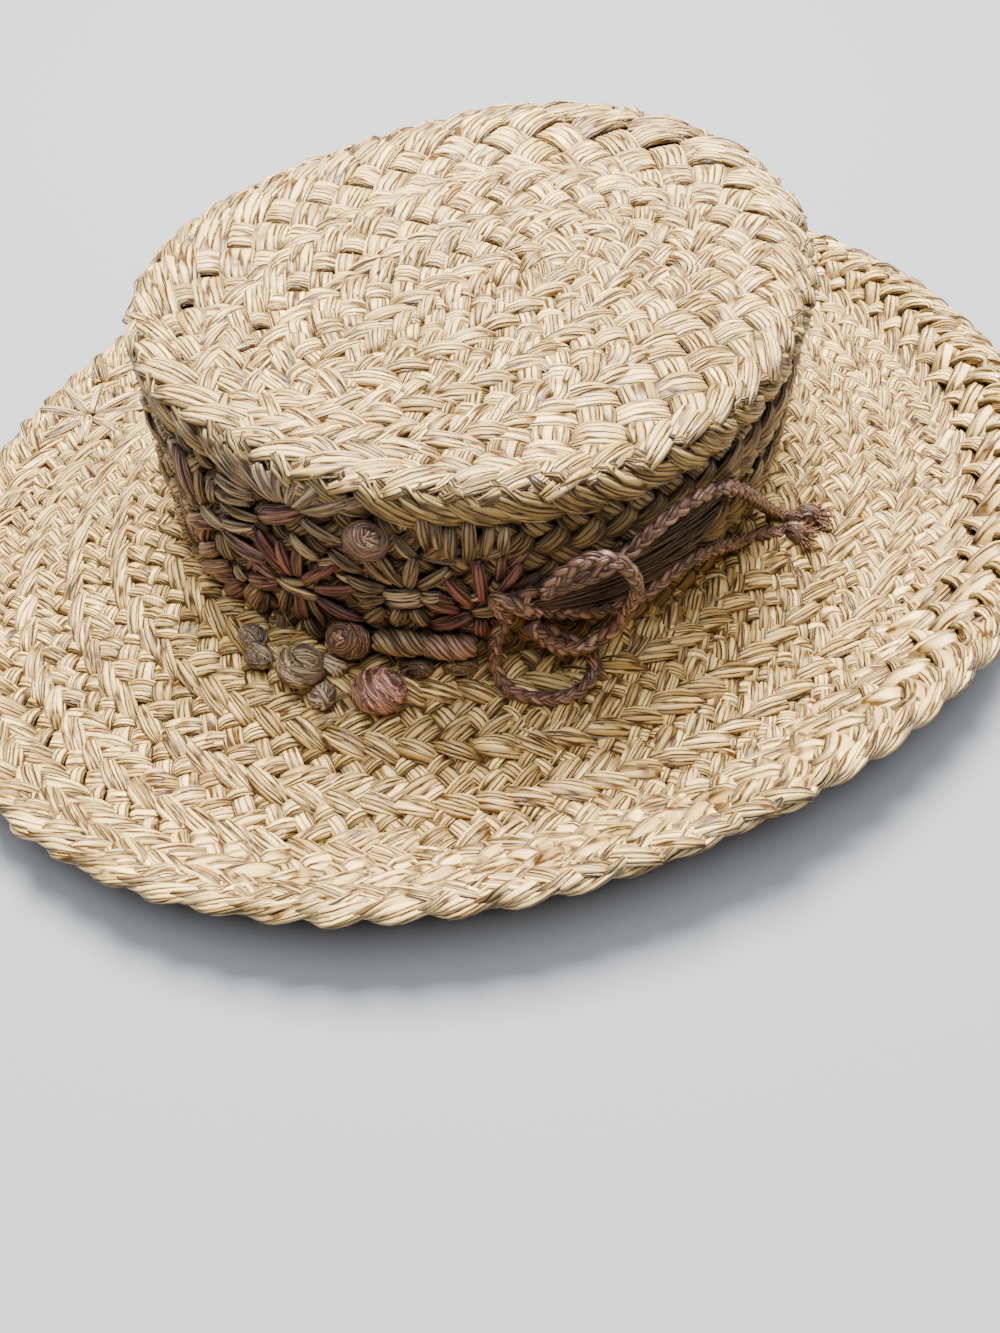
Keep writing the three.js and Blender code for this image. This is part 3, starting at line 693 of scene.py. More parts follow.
# Tip: a straight row left of the middle, then rings of plait between seams.
tipSeams = [
    {"x": -20.0, "y": -10.0, "a": 42.0, "b": 10.0},
    {"x": -18.5, "y": -8.0, "a": 61.5, "b": 30.0},
    {"x": -11.5, "y": -5.5, "a": 77.5, "b": 52.5},
]
tip = {
    "middle": 81.0, "seed": 11, "sides": 8, "edge": 0.9, "inset": 1.8, "least": 17.0, "sink": 0.16,
    "hole": 0.02, "laps": [0.1, 0.1, 0.03],
    "core": {"x": (-64.0, 24.0), "y": -10.0, "width": 20.0, "lower": 0.4},
    "ripple": {"high": 0.6, "x": (0.05, 1.0), "y": (0.06, 0.4)},
}


def onTip(flat, high):
    ripple = tip["ripple"]["high"]
    for place, axis in ((flat[..., 0], "x"), (flat[..., 1], "y")):
        often, shift = tip["ripple"][axis]
        ripple = ripple * np.sin(often * place + shift)
    return withHeight(flat, tip["middle"] + ripple + high)


def seamPoint(s, turn):
    return np.stack([s["x"] + s["a"] * np.cos(turn), s["y"] + s["b"] * np.sin(turn)], -1)


def tipRow(index):
    def seam(k, turn):
        return onOval(tipOval, turn, -tip["inset"]) if k == len(tipSeams) else seamPoint(tipSeams[k], turn)

    def place(turn, across, high):
        inner = seam(index, turn)
        outer = seam(index + 1, turn)
        short = np.clip(tip["least"] - np.linalg.norm(outer - inner, axis=-1, keepdims=True), 0, None)
        inner = inner - np.stack([np.cos(turn), np.sin(turn)], -1) * short
        across = np.asarray(across)
        flat = inner + (outer - inner) * across[..., None]
        return onTip(flat, high - tip["sink"] * short[..., 0] * (1 - across))

    return place


def coreRow(turn, across, high):
    s = tip["core"]
    x = s["x"][0] + (s["x"][1] - s["x"][0]) * turn
    flat = np.stack([x, s["y"] + s["width"] * (0.5 - np.asarray(across))], -1)
    return onTip(flat, np.asarray(high) - s["lower"])


def tipShadeSheet(turn, across, high):
    middle = np.array([tipOval["x"], tipOval["y"]])
    reach = tip["hole"] + (1 - tip["hole"]) * across
    return onTip(middle + (onOval(tipOval, turn, -tip["inset"]) - middle) * reach[:, None], high)


def makeTip(s):
    rng = np.random.default_rng(s["seed"])
    parts = plaitRow(coreRow, 0, 1, plait, s["sides"], rng, closed=False)
    for index, lap in enumerate(s["laps"]):
        parts += plaitRow(tipRow(index), 0, 2 * np.pi, {**plait, "lap": lap}, s["sides"], rng, edge=s["edge"])
    parts.append(paintedShadeSheet(tipShadeSheet, shadeSheet))
    return joined("tipPlait", parts, tipStraw, "straw_crown", "crown")


makeTip(tip)

# Side: rows of plait one below the other. A height is where a row ends.
side = {
    "heights": [85.4, 59.5, 39.5, 19.5], "laps": [0.04, 0.1, 0.1], "out": -1.5, "seed": 23, "sides": 7,
    "backingLower": 6,
}
# Painted shade on the crown's side: its straw is painted darker and browner at the front, behind the flowers
# and the bow, and paler and cooler at the back.
sideShade = {
    "front": [1.0, 0.98, 0.94], "back": [0.0, 0.05, 0.24], "pale": 1.5, "turn": 0.35, "underEdge": 0.52,
}


def paintedSideShade(turn):
    back = np.clip(0.5 + np.sin(np.asarray(turn) + sideShade["turn"]), 0, 1)[..., None]
    return (1 + sideShade["pale"] * back) * (sideShade["front"] + back * sideShade["back"])


# Painted shade on the leaves just under the crown's edge: the side's painted shade, darker still.
def underEdgeShade(turn):
    return paintedSideShade(turn) * sideShade["underEdge"]


def sideStrip(top, low):
    def place(turn, across, high):
        return sidePoint(turn, top + (low - top) * np.asarray(across), side["out"] + high)

    return place


def makeSide(s):
    rng = np.random.default_rng(s["seed"])
    heights = s["heights"]
    parts = []
    for top, low, lap in zip(heights, heights[1:], s["laps"]):
        style = {**plait, "lap": lap}
        parts += plaitRow(sideStrip(top, low), 0, 2 * np.pi, style, s["sides"], rng, tint=paintedSideShade)
    parts.append(paintedShadeSheet(sideStrip(heights[0] - s["backingLower"], heights[-1]), shadeSheet))
    return joined("sidePlait", parts, sideStraw, "straw_crown")


makeSide(side)

# Brim: one row of plait that winds outwards from the crown to the rim.
brim = {
    "start": 140.0, "first": 0.045, "pitch": 0.195, "last": 0.962, "seed": 37, "sides": 7,
    "turns": [0.04, 2.3, 4.0, 5.25], "widen": (4.1, 4.45), "clear": 2.5, "lap": 0.15, "tilt": 0.7,
    "tuckHeight": 85.0, "tuckIn": -4.5, "tuckOver": 0.04, "backingFrom": 0.02,
}


# The outer edge of the winding row, as a share of the brim. It widens early on to meet the rim.
def rowEdge(turn):
    edge = np.clip(brim["first"] + brim["pitch"] * turn, None, brim["last"])
    start, end = brim["widen"]
    return edge + smoothStep(np.clip((turn - start) / (end - start), 0, 1)) * (brim["last"] - edge)


def raised(points, high):
    points[..., 2] = np.maximum(points[..., 2], brim["clear"]) + high
    return points


def brimRow(turn, across, high):
    outer = rowEdge(turn)
    inner = rowEdge(turn - 1)
    angle = math.radians(brim["start"]) + 2 * np.pi * turn
    share = inner + (outer - inner) * np.asarray(across)
    points = raised(brimPoint(angle, np.maximum(share, 0)), high)
    hidden = np.clip(-share, 0, 1)
    tucked = brim["tuckIn"] * np.clip(hidden / brim["tuckOver"], 0, 1)
    behind = sidePoint(angle, form["footHeight"] + brim["tuckHeight"] * hidden, tucked + high)
    return np.where((share < 0)[..., None], behind, points)


def brimShadeSheet(turn, across, high):
    share = brim["backingFrom"] + (brim["last"] - brim["backingFrom"]) * across
    return raised(brimPoint(turn, share), high)


def makeBrim(s):
    rng = np.random.default_rng(s["seed"])
    style = {**plait, "lap": s["lap"], "tilt": s["tilt"]}
    for name, start, end in zip(["Inner", "Middle", "Outer"], s["turns"], s["turns"][1:]):
        parts = plaitRow(brimRow, start, end, style, s["sides"], rng, closed=False)
        if name == "Inner":
            parts.append(paintedShadeSheet(brimShadeSheet, shadeSheet))
        joined("brimPlait" + name, parts, brimStraw, "straw_brim", *(["brim"] if name == "Inner" else []))


makeBrim(brim)

# Rim: three thick strands twisted round the edge, each of three ribbons.
rim = {
    "share": 0.972, "strands": 3, "lay": 45.0, "across": 2.7, "up": 1.2, "ribbons": 3, "spread": 1.9,
    "halfWidth": 1.75, "halfThick": 1.15, "sides": 7, "steps": 420, "seed": 41, "lean": 0.6, "bow": 0.12,
    "widths": (0.88, 1.12), "wander": 0.3, "lift": 0.25, "tone": (0.7, 0.25), "lobes": 0.1,
}


def makeRim(s):
    rng = np.random.default_rng(s["seed"])
    turn = np.linspace(0, 2 * np.pi, s["steps"])
    middle, atRim, within = (brimPoint(turn, np.full(len(turn), share)) for share in (s["share"], 1.0, 0.9))
    length = lengthAlong(middle)
    twists = round(length[-1] / s["lay"])
    outward = unit(atRim - within)
    up = np.cross(unit(np.gradient(middle, axis=0)), outward)
    up = unit(up * np.sign(up[:, 2:3]))
    share = length / length[-1]
    knots = np.linspace(0, 1, twists * 2 + 1)
    parts = []
    for strand in range(s["strands"]):
        phase = 2 * np.pi * (share * twists + strand / s["strands"])
        line = middle + outward * (s["across"] * np.cos(phase))[:, None]
        line = line + up * (s["up"] * np.sin(phase))[:, None]
        normals = unit(outward * np.cos(phase)[:, None] * s["lean"] + up * np.sin(phase)[:, None])
        across = np.cross(normals, unit(np.gradient(line, axis=0)))
        swell = 0.86 + 0.2 * np.sin(phase)
        swell = swell * np.interp(share, knots, rng.uniform(*s["widths"], len(knots)))
        for ribbon in range(s["ribbons"]):
            off = s["spread"] * (ribbon - (s["ribbons"] - 1) / 2)
            wander = np.interp(share, knots, rng.normal(0, s["wander"], len(knots)))
            lift = np.interp(share, knots, rng.normal(0, s["lift"], len(knots))) - s["bow"] * off ** 2
            tone = np.interp(share, knots, tones(rng, *s["tone"], len(knots)))
            parts.append(tube(
                line + across * (off * swell + wander)[:, None] + normals * lift[:, None], normals,
                s["halfWidth"] * swell, s["halfThick"], s["sides"], tone, rng,
                depth=0.62 + 0.38 * np.sin(phase), lobes=s["lobes"],
            ))
    return joined("rimPlait", parts, brimStraw, "straw_brim")


makeRim(rim)

# Stitches. Each is a bundle of fibres that rises a little in its middle and dives at both ends.
# A patch turns mm to the right, mm up and mm out into a place on the crown's side or the brim.
def sidePatch(angle, height):
    start = math.radians(angle)
    radius = float(ovalRadius(footOval, start))
    return lambda right, up, out: sidePoint(start + right / radius, height + up, out)


def brimPatch(angle, share):
    start = math.radians(angle)
    inner = float(ovalRadius(footOval, start))
    width = float(ovalRadius(rimOval, start)) - inner
    return lambda right, up, out: brimPoint(start + right / (inner + share * width), share - up / width, out)


def tipPatch(x, y):
    return lambda right, up, out: onTip(np.stack([x + right, y + up], -1), out)


def axesOf(patch, out):
    zero = np.zeros(1)
    centre = patch(zero, zero, zero + out)[0]
    right = patch(zero + 0.5, zero, zero + out)[0] - centre
    return centre, axesFrom(right, patch(zero, zero, zero + out + 1)[0] - centre)


# lift: mm that a second layer lies above the first. dive: mm that the two ends sink below the base.
# flare: share by which the width grows to the end.
thread = {
    "fibre": 1.25, "steps": 8, "sides": 6, "base": 1.0, "rise": 1.7, "loose": 0.14, "taper": 0.42,
    "layers": [{"width": 1.0, "lift": 0.0}, {"width": 0.55, "lift": 0.55}], "layeredFrom": 3.6,
    "packed": 1.25,
    "dive": 0.0, "flare": 0.0, "sink": 0.6, "halfThick": 0.42, "lean": 0.7, "tone": (0.5, 0.3), "lobes": 0.1,
}
oneLayer = thread["layers"][:1]


def stitch(patch, end, width, tint, s, rng):
    length = math.hypot(*end)
    forward = np.array(end) / length
    sideways = np.array([-forward[1], forward[0]])
    share = np.linspace(0, 1, s["steps"])
    body = np.sin(np.pi * (0.07 + 0.86 * share)) ** 0.6
    opened = s["taper"] + (1 - s["taper"]) * body
    opened = opened + s["flare"] * (0.25 + 0.9 * share - opened)
    parts = []
    for layer in s["layers"] if width > s["layeredFrom"] else s["layers"][:1]:
        count = max(2, round(width * layer["width"] / s["fibre"] * s["packed"]))
        for fibre in range(count):
            off = ((fibre + 0.5) / count - 0.5) * 2 * layer["width"] + rng.normal(0, 0.07)
            bulge = math.sqrt(max(0.0, 1 - off ** 2))
            spread = off * (width / 2 - 0.5) * opened
            reach = length * (share * (1 + rng.uniform(-0.03, 0.05)) - rng.uniform(-0.02, 0.03))
            right = forward[0] * reach + sideways[0] * spread
            up = forward[1] * reach + sideways[1] * spread
            high = s["base"] - s["sink"] + (s["rise"] * (0.4 + 0.6 * bulge) + layer["lift"]) * body
            high = high - s["dive"] * (1 - body) + rng.normal(0, s["loose"])
            line = patch(right, up, high)
            over = off * s["lean"] * sideways
            parts.append(tube(
                line, unit(patch(right + over[0], up + over[1], high + 1.0) - line),
                s["fibre"] * (0.34 + 0.36 * body) * rng.uniform(0.85, 1.15), s["fibre"] * s["halfThick"],
                s["sides"], tones(rng, *s["tone"]), rng,
                depth=0.35 + 0.65 * body * (0.5 + 0.5 * bulge), tint=tint, lobes=s["lobes"],
            ))
    return parts


# Seams. Where two rows of plait meet, the strands that turn back at the edge lie like leaves.
leaf = {
    **thread, "fibre": 2.8, "steps": 6, "sides": 5, "rise": 1.9, "loose": 0.16, "layers": oneLayer,
    "taper": 0.2, "dive": 2.2,
}
# slant: how far a leaf turns inwards or upwards from the seam, in degrees. skip: degrees without leaves.
# Columns of an arm: slant, length, width, mm inwards or upwards from the seam.
seams = {
    "tip": {"pitch": 10.0, "base": 1.5, "seed": 101, "arms": [(-25, 14.5, 6.2, -2.7), (36, 12.5, 5.6, 3.0)]},
    "edgeTip": {"pitch": 12.0, "base": 2.1, "inset": 3.6, "seed": 102, "arms": [(24, 20, 8.4, 0.0)]},
    "edgeSide": {"pitch": 12.0, "base": 1.2, "height": 78.6, "seed": 103, "arms": [(-29, 20, 8.4, 0.0)]},
    "side": {
        "pitch": 11.5, "base": 1.0, "heights": [60.5, 40.5], "seed": 104, "skip": (163, 270),
        "arms": [(-18, 18, 7.0, -2.6), (34, 13, 6.0, 3.2)],
    },
    "brim": {
        "pitch": 10.6, "base": 1.6, "seed": 105, "turns": (0.08, 5.3), "samples": 2400, "onlyInner": 0.77,
        "arms": [(-22, 16, 6.4, -2.8), (38, 10.5, 5.4, 2.9)],
    },
}


def movedPatch(patch, byRight, byUp):
    return lambda right, up, out: patch(right + byRight, up + byUp, out)


def leavesAlong(length, patchAt, s, rng, tint=None):
    count = round(length / s["pitch"])
    skip = s.get("skip", (0, 0))
    parts = []
    for index in range(count):
        share = (index + rng.uniform(-0.12, 0.12)) / count
        if skip[0] < 360 * share < skip[1]:
            continue
        patch = patchAt(share)
        own = tint(2 * np.pi * share) if tint else white
        for slant, reach, width, offset in s["arms"]:
            if offset < 0 and share > s.get("onlyInner", 1):
                continue
            way = math.radians(slant + rng.normal(0, 4))
            reach = reach * rng.uniform(0.86, 1.12)
            end = (reach * math.cos(way), reach * math.sin(way))
            middled = movedPatch(patch, -end[0] / 2, offset - end[1] / 2)
            style = {**leaf, "base": s["base"]}
            parts += stitch(middled, end, width * rng.uniform(0.85, 1.15), own, style, rng)
    return parts


# A patch of the tip whose right is along a seam and whose up is inwards.
def turnedPatch(point, along):
    inward = np.array([-along[1], along[0]])
    return lambda right, up, out: onTip(
        point + np.asarray(right)[..., None] * along + np.asarray(up)[..., None] * inward, out,
    )


aroundOnce = np.linspace(0, 2 * np.pi, 400)


def tipLeaves(curve, s, rng):
    length = lengthAlong(curve(aroundOnce))

    def patchAt(share):
        here = np.interp(share * length[-1], length, aroundOnce)
        pair = curve(np.array([here, here + 0.002]))
        return turnedPatch(pair[0], unit(pair[1] - pair[0]))

    return leavesAlong(length[-1], patchAt, s, rng)


def sideLeaves(height, s, rng, tint):
    length = lengthAlong(sidePoint(aroundOnce, np.full(len(aroundOnce), height)))[-1]
    return leavesAlong(length, lambda share: sidePatch(360 * share, height), s, rng, tint)


def brimLeaves(s, rng):
    turns = np.linspace(*s["turns"], s["samples"])
    length = lengthAlong(brimRow(turns, np.ones(len(turns)), 0.0))

    def patchAt(share):
        here = np.interp(share * length[-1], length, turns)
        patch = brimPatch(brim["start"] + 360 * here, float(rowEdge(here)))
        return lambda right, up, out: raised(patch(right, up, 0.0), out)

    return leavesAlong(length[-1], patchAt, s, rng)


def makeSeams(table):
    draws = {name: np.random.default_rng(s["seed"]) for name, s in table.items()}
    edge = table["edgeTip"]
    parts = []
    for oval in tipSeams:
        parts += tipLeaves(lambda turn: seamPoint(oval, turn), table["tip"], draws["tip"])
    parts += tipLeaves(lambda turn: onOval(tipOval, turn, -edge["inset"]), edge, draws["edgeTip"])
    parts += sideLeaves(table["edgeSide"]["height"], table["edgeSide"], draws["edgeSide"], underEdgeShade)
    joined("tipSeams", parts, tipStraw, "straw_crown")
    parts = []
    for height in table["side"]["heights"]:
        parts += sideLeaves(height, table["side"], draws["side"], paintedSideShade)
    joined("sideSeams", parts, sideStraw, "straw_crown")
    joined("brimSeams", brimLeaves(table["brim"], draws["brim"]), brimStraw, "straw_brim")


makeSeams(seams)


# Columns of a stitch on the crown's side: from angle and height, to angle and height, width, dye.
def sideStitches(rows, s, rng):
    parts = []
    for fromAngle, fromHeight, toAngle, toHeight, width, dye in rows:
        perDegree = math.radians(1) * float(ovalRadius(footOval, math.radians(fromAngle)))
        end = ((toAngle - fromAngle) * perDegree, toHeight - fromHeight)
        tint = np.array(dyes[dye]) * rng.uniform(0.86, 1.14)
        parts += stitch(sidePatch(fromAngle, fromHeight), end, width, tint, s, rng)
    return parts


# Stitched flowers. petals: broad ones of the taupe flower, which widen up to the crown's edge.
flowers = {
    "flowerTaupe": {"slot": "raffia_taupe", "rows": [
        (199, 71, 205, 74, 3.5, "olive"), (191, 62.5, 199, 70.5, 6, "dustyRose"),
        (192, 66, 198, 71, 4, "dustyRose"), (198.5, 68, 204.5, 63, 4, "olive"),
        (190, 72, 183, 77, 4, "strawOlive"), (190, 73, 184, 82, 4, "strawOlive"),
        (190, 69, 183, 69, 5, "strawOlive"), (189, 66, 182, 63, 4, "olive"), (173, 68, 174, 53, 9, "mauve"),
        (178, 66, 177.5, 55, 3.5, "olive"), (181, 66, 180, 58, 3, "taupe"), (190, 61, 183, 60, 4, "olive"),
        (189, 57, 182, 52, 4, "strawOlive"), (177, 52, 182, 49.5, 5, "strawOlive"),
    ], "petals": [
        (194.2, 71.5, 188.8, 80.2, 5.6, "taupe"), (195.2, 72, 192.0, 80.8, 6.0, "taupe"),
        (196.2, 72.4, 195.6, 81, 6.0, "taupe"), (197.2, 72.2, 199.2, 81, 6.0, "taupe"),
        (198.0, 71.8, 202.8, 80.4, 6.0, "taupe"), (199.2, 71.4, 207.0, 78.4, 5.6, "taupe"),
    ]},
    "flowerDustyRose": {"slot": "raffia_dusty_rose", "rows": [
        (194, 45, 189.5, 56, 5, "darkRose"), (195, 45, 193.5, 56, 4, "darkRose"),
        (196, 45.5, 197, 56, 3.5, "brownRose"), (197, 44.5, 203.5, 55, 4, "darkRose"),
        (199, 42, 206, 46.5, 4.5, "darkRose"), (199, 38.5, 206, 33.5, 4.5, "darkRose"),
        (197.5, 38, 199.5, 29, 3.5, "brown"), (195.5, 38, 196, 28, 4, "brownRose"),
        (193.5, 38, 192, 28.5, 4, "brown"), (191.5, 38.5, 186, 34, 6, "dustyRose"),
        (191.5, 40.5, 187, 44.5, 3.5, "dustyRose"), (190, 46, 182, 47.5, 6, "mauve"),
        (188, 33, 185, 23, 9, "tanRose"), (180.5, 46, 181.5, 38, 5, "taupe"),
        (192, 40, 199, 38.5, 3.5, "strawOlive"), (193, 42, 197, 43, 3, "strawOlive"),
        (183, 36.5, 184.6, 33, 4, "strawOlive"),
    ]},
    "flowerOlive": {"slot": "raffia_olive", "rows": [
        (212, 51, 208, 60, 4, "olive"), (213.5, 50.5, 210.5, 61, 4, "olive"),
        (214.5, 50.5, 216, 61, 4.5, "olive"), (216.5, 51, 221, 57.5, 5, "olive"),
        (216.5, 47, 219.5, 47, 4, "strawOlive"), (210.5, 48, 205, 50, 4, "olive"),
        (216.5, 46, 222, 41.5, 4.5, "darkRose"), (213, 41, 211.5, 34, 5, "olive"),
        (215, 41, 216.5, 35, 5, "olive"), (210, 40, 207, 34, 4, "olive"),
        (210.5, 44, 206.5, 43, 4, "olive"), (210.5, 46.5, 216, 48, 5, "strawOlive"),
        (210.8, 43.5, 216.4, 44.5, 4.5, "taupe"),
    ]},
    "flowerRedRose": {"slot": "raffia_red_rose", "rows": [
        (224.5, 43, 220.5, 53.5, 4.5, "darkRose"), (226, 45, 225.5, 60, 4, "darkRose"),
        (228, 46, 232, 58, 4, "darkRose"), (224, 39, 218, 34.5, 5, "darkRose"),
        (225.5, 37, 225.5, 30.5, 5, "darkRose"), (227.5, 37.5, 229.5, 33, 3.5, "darkRose"),
        (230, 48, 235, 53, 3.5, "brownRose"), (221.5, 44.5, 217.5, 48, 3.5, "darkRose"),
        (224.5, 40, 229.5, 42, 5, "olive"), (224.2, 46.4, 225.6, 47.6, 3, "strawOlive"),
    ]},
    "knotsRose": {"slot": "raffia_dusty_rose", "rows": [
        (172.5, 22.5, 181, 34, 6, "tanRose"), (179, 21, 184, 31, 6, "darkRose"),
        (172.4, 42, 178.4, 47, 4, "dustyRose"), (175.5, 38, 177, 46, 4, "brownRose"),
        (171, 40, 176, 47, 4, "tanRose"), (173.5, 31, 178.5, 38.5, 6, "tanRose"),
        (176.5, 26, 181.5, 30, 5, "dustyRose"),
    ]},
}
# Loose stitches between the flowers and under the crown's edge.
fillStitches = [
    (202.5, 58, 207, 53, 4, "olive"), (203, 49.5, 209.5, 48, 3.5, "strawOlive"),
    (205, 44, 209.5, 45.5, 4, "olive"), (206, 40, 209, 42, 4, "olive"), (196, 60, 200, 54, 4, "strawOlive"),
    (200, 52, 204, 56, 3.5, "olive"), (207.5, 33, 209.5, 38, 3.5, "taupe"),
    (209.5, 22, 215, 21.5, 3.5, "olive"), (191, 24, 190.5, 14.5, 5, "olive"),
    (196, 28, 198, 21, 4.5, "olive"), (186, 20, 188, 14.5, 5, "brown"), (211.5, 75, 213, 69, 4, "brown"),
    (210.5, 61.5, 213.5, 68.5, 4, "tanRose"), (215.5, 78, 214.5, 71, 3.5, "strawOlive"),
    (217.5, 77, 218, 65, 4, "olive"), (219.5, 75, 219.8, 65, 4, "olive"),
    (221.8, 73, 221.4, 62, 4.5, "olive"), (224.5, 75, 224.3, 61.5, 4, "olive"),
    (227.5, 73, 226.5, 62, 3.5, "olive"), (229.8, 72, 229.3, 63, 3.5, "strawOlive"),
    (213.5, 67, 216, 61, 4, "olive"), (205, 75, 210, 80, 4.5, "taupe"),
]
ground = {
    "count": 105, "angles": (168, 232), "heights": (21, 63), "length": (7, 11), "width": (3, 4.4), "seed": 61,
    "dyes": ["olive", "brown", "brown", "brownRose"], "turn": 0.7, "upright": 0.4, "perDegree": 1.8,
}
# The thread of each kind of stitch.
flowerThread = {**thread, "base": 1.9}
petalThread = {**thread, "base": 2.2, "flare": 0.85}
groundThread = {**thread, "base": 0.6, "rise": 1.0, "steps": 6, "layers": oneLayer}
flowerSeed = 53


def makeFlowers():
    rng = np.random.default_rng(flowerSeed)
    for name, flower in flowers.items():
        parts = sideStitches(flower["rows"], flowerThread, rng)
        parts += sideStitches(flower.get("petals", []), petalThread, rng)
        joined(name, parts, dyedRaffia, flower["slot"], nodeOf(name))


def makeGround(s):
    rng = np.random.default_rng(s["seed"])
    rows = []
    for index in range(s["count"]):
        angle = rng.uniform(*s["angles"])
        height = rng.uniform(*s["heights"])
        turn = rng.normal(0, s["turn"]) + (math.pi / 2 if rng.random() < s["upright"] else 0)
        length = rng.uniform(*s["length"])
        right = math.cos(turn) * length / s["perDegree"] / 2
        rise = math.sin(turn) * length / 2
        dye = s["dyes"][rng.integers(len(s["dyes"]))]
        width = rng.uniform(*s["width"])
        rows.append((angle - right, height - rise, angle + right, height + rise, width, dye))
    parts = sideStitches(rows, groundThread, rng)
    parts += sideStitches(fillStitches, {**thread, "base": 1.2}, rng)
    joined("groundStitches", parts, dyedRaffia, "raffia_olive")


makeFlowers()
makeGround(ground)

# Wound berries. Columns: slot, surface, place on it, radii, dye, axis that the strands go round.
# On the crown the second place value is a height, on the brim a share of its width.
berries = {
    "berryRoseUpper": ("raffia_tan_rose", sidePatch, (209.6, 68), (5.6, 5.2, 4.2),
        "berryTan", (0.5, 1.0, 0.6)),
    "berryRoseLower": ("raffia_berry_rose", sidePatch, (204.2, 27), (6.2, 5.6, 4.6),
        "tanRose", (-0.8, 0.8, 0.9)),
    "berryOlive": ("raffia_berry_olive", brimPatch, (198.2, 0.14), (6.8, 6.2, 4.8),
        "berryOlive", (0.2, 0.3, 1.0)),
    "berryRoseBrim": ("raffia_berry_rose", brimPatch, (210.6, 0.17), (7.4, 6.8, 5.2),
        "berryRose", (0.9, 0.3, 0.5)),
}
# Columns: place on the brim, radii, dye.
lumps = [
    ((188.4, 0.10), (4.4, 3.2, 2.8), "lump"), ((191.2, 0.15), (4.2, 3.4, 2.8), "lump"),
    ((202.8, 0.20), (3.2, 4.4, 2.8), "lump"), ((202.4, 0.10), (3.6, 3.2, 2.8), "taupe"),
    ((215.0, 0.07), (4.6, 2.8, 2.6), "brown"), ((222.0, 0.06), (4.6, 2.6, 2.6), "olive"),
]
seat = {"side": 0.6, "brim": 2.6, "radius": 0.9, "seed": 67, "lumpAxis": (0.3, 1.0, 0.2)}
lumpBall = {**ball, "wraps": 9, "halfWidth": 2.4, "steps": 18}


def berryParts(surface, place, radii, dye, turnAxis, s, rng):
    base = seat["side"] if surface is sidePatch else seat["brim"]
    centre, axes = axesOf(surface(*place), base + radii[2] * seat["radius"])
    return woundBall(centre, axes, radii, dyes[dye], s, rng, turnAxis)


def makeBerries():
    rng = np.random.default_rng(seat["seed"])
    for name, (slotName, *berry) in berries.items():
        joined(name, berryParts(*berry, ball, rng), dyedRaffia, slotName, nodeOf(name))
    parts = []
    for lump in lumps:
        parts += berryParts(brimPatch, *lump, seat["lumpAxis"], lumpBall, rng)
    joined("brimLumps", parts, dyedRaffia, "raffia_taupe")


makeBerries()

# Rolls: short bars of five strands twisted together. Columns: slot, place on the crown's side, dye.
rolls = {
    "rollOlive": ("raffia_berry_olive", (212.4, 28), "olive"),
    "rollRose": ("raffia_tan_rose", (220.4, 27.4), "tanRose"),
}
roll = {
    "length": 14.5, "strands": 5, "turns": 0.8, "radius": 2.6, "halfWidth": 2.3, "halfThick": 1.5, "out": 3.6,
    "steps": 24, "sides": 10, "tone": (0.55, 0.2), "lobes": 0.15, "seed": 71,
}


def makeRolls(s):
    rng = np.random.default_rng(s["seed"])
    share = np.linspace(0, 1, s["steps"])
    body = np.sin(np.pi * (0.12 + 0.76 * share)) ** 0.5
    for name, (slotName, place, dye) in rolls.items():
        centre, axes = axesOf(sidePatch(*place), s["out"])
        parts = []
        for strand in range(s["strands"]):
            phase = 2 * np.pi * (share * s["turns"] + strand / s["strands"])
            ring = axes[1] * np.cos(phase)[:, None] + axes[2] * np.sin(phase)[:, None]
            line = centre + axes[0] * ((share - 0.5) * s["length"])[:, None]
            parts.append(tube(
                line + ring * (s["radius"] * body)[:, None], ring, s["halfWidth"] * body,
                s["halfThick"] * body, s["sides"], tones(rng, *s["tone"]), rng,
                depth=0.6 + 0.4 * np.sin(phase), tint=dyes[dye], lobes=s["lobes"],
            ))
        joined(name, parts, dyedRaffia, slotName, nodeOf(name))


makeRolls(roll)

# The bow's knot: a small dark core with two turns of the cord over it.
# A turn's points are mm to the right, up and out from the knot's middle.
knot = {
    "at": (231.2, 46), "out": 4.0, "radii": (4.2, 3.4, 2.6), "wraps": 6, "turnAxis": (1.0, 0.2, 0.2),
    "seed": 73,
    "turns": [
        [(5.6, -4.4, 1.4), (2.2, -1.2, 2.8), (-0.9, 2.0, 3.1), (-3.4, 4.0, 2.2), (-5.5, 3.0, 0.9),
         (-5.5, 0.0, 0.8), (-3.8, -2.9, 1.1), (-1.2, -5.4, 1.0)],
        [(4.8, 4.2, 0.6), (2.2, 3.8, 1.8), (1.5, 1.2, 1.6), (3.4, -1.6, 0.9)],
    ],
}


def makeKnot(s):
    rng = np.random.default_rng(s["seed"])
    centre, axes = axesOf(sidePatch(*s["at"]), s["out"])
    core = {**ball, "wraps": s["wraps"]}
    parts = woundBall(centre, axes, s["radii"], dyes["brown"], core, rng, s["turnAxis"])
    for points in s["turns"]:
        line = centre + smoothRoute(points, cord["spacing"]) @ axes
        parts += braid(line, cord, rng, dyes["knot"], np.tile(axes[2], (len(line), 1)))
    joined("bowKnot", parts, dyedRaffia, "raffia_cord", "bow_knot")


makeKnot(knot)

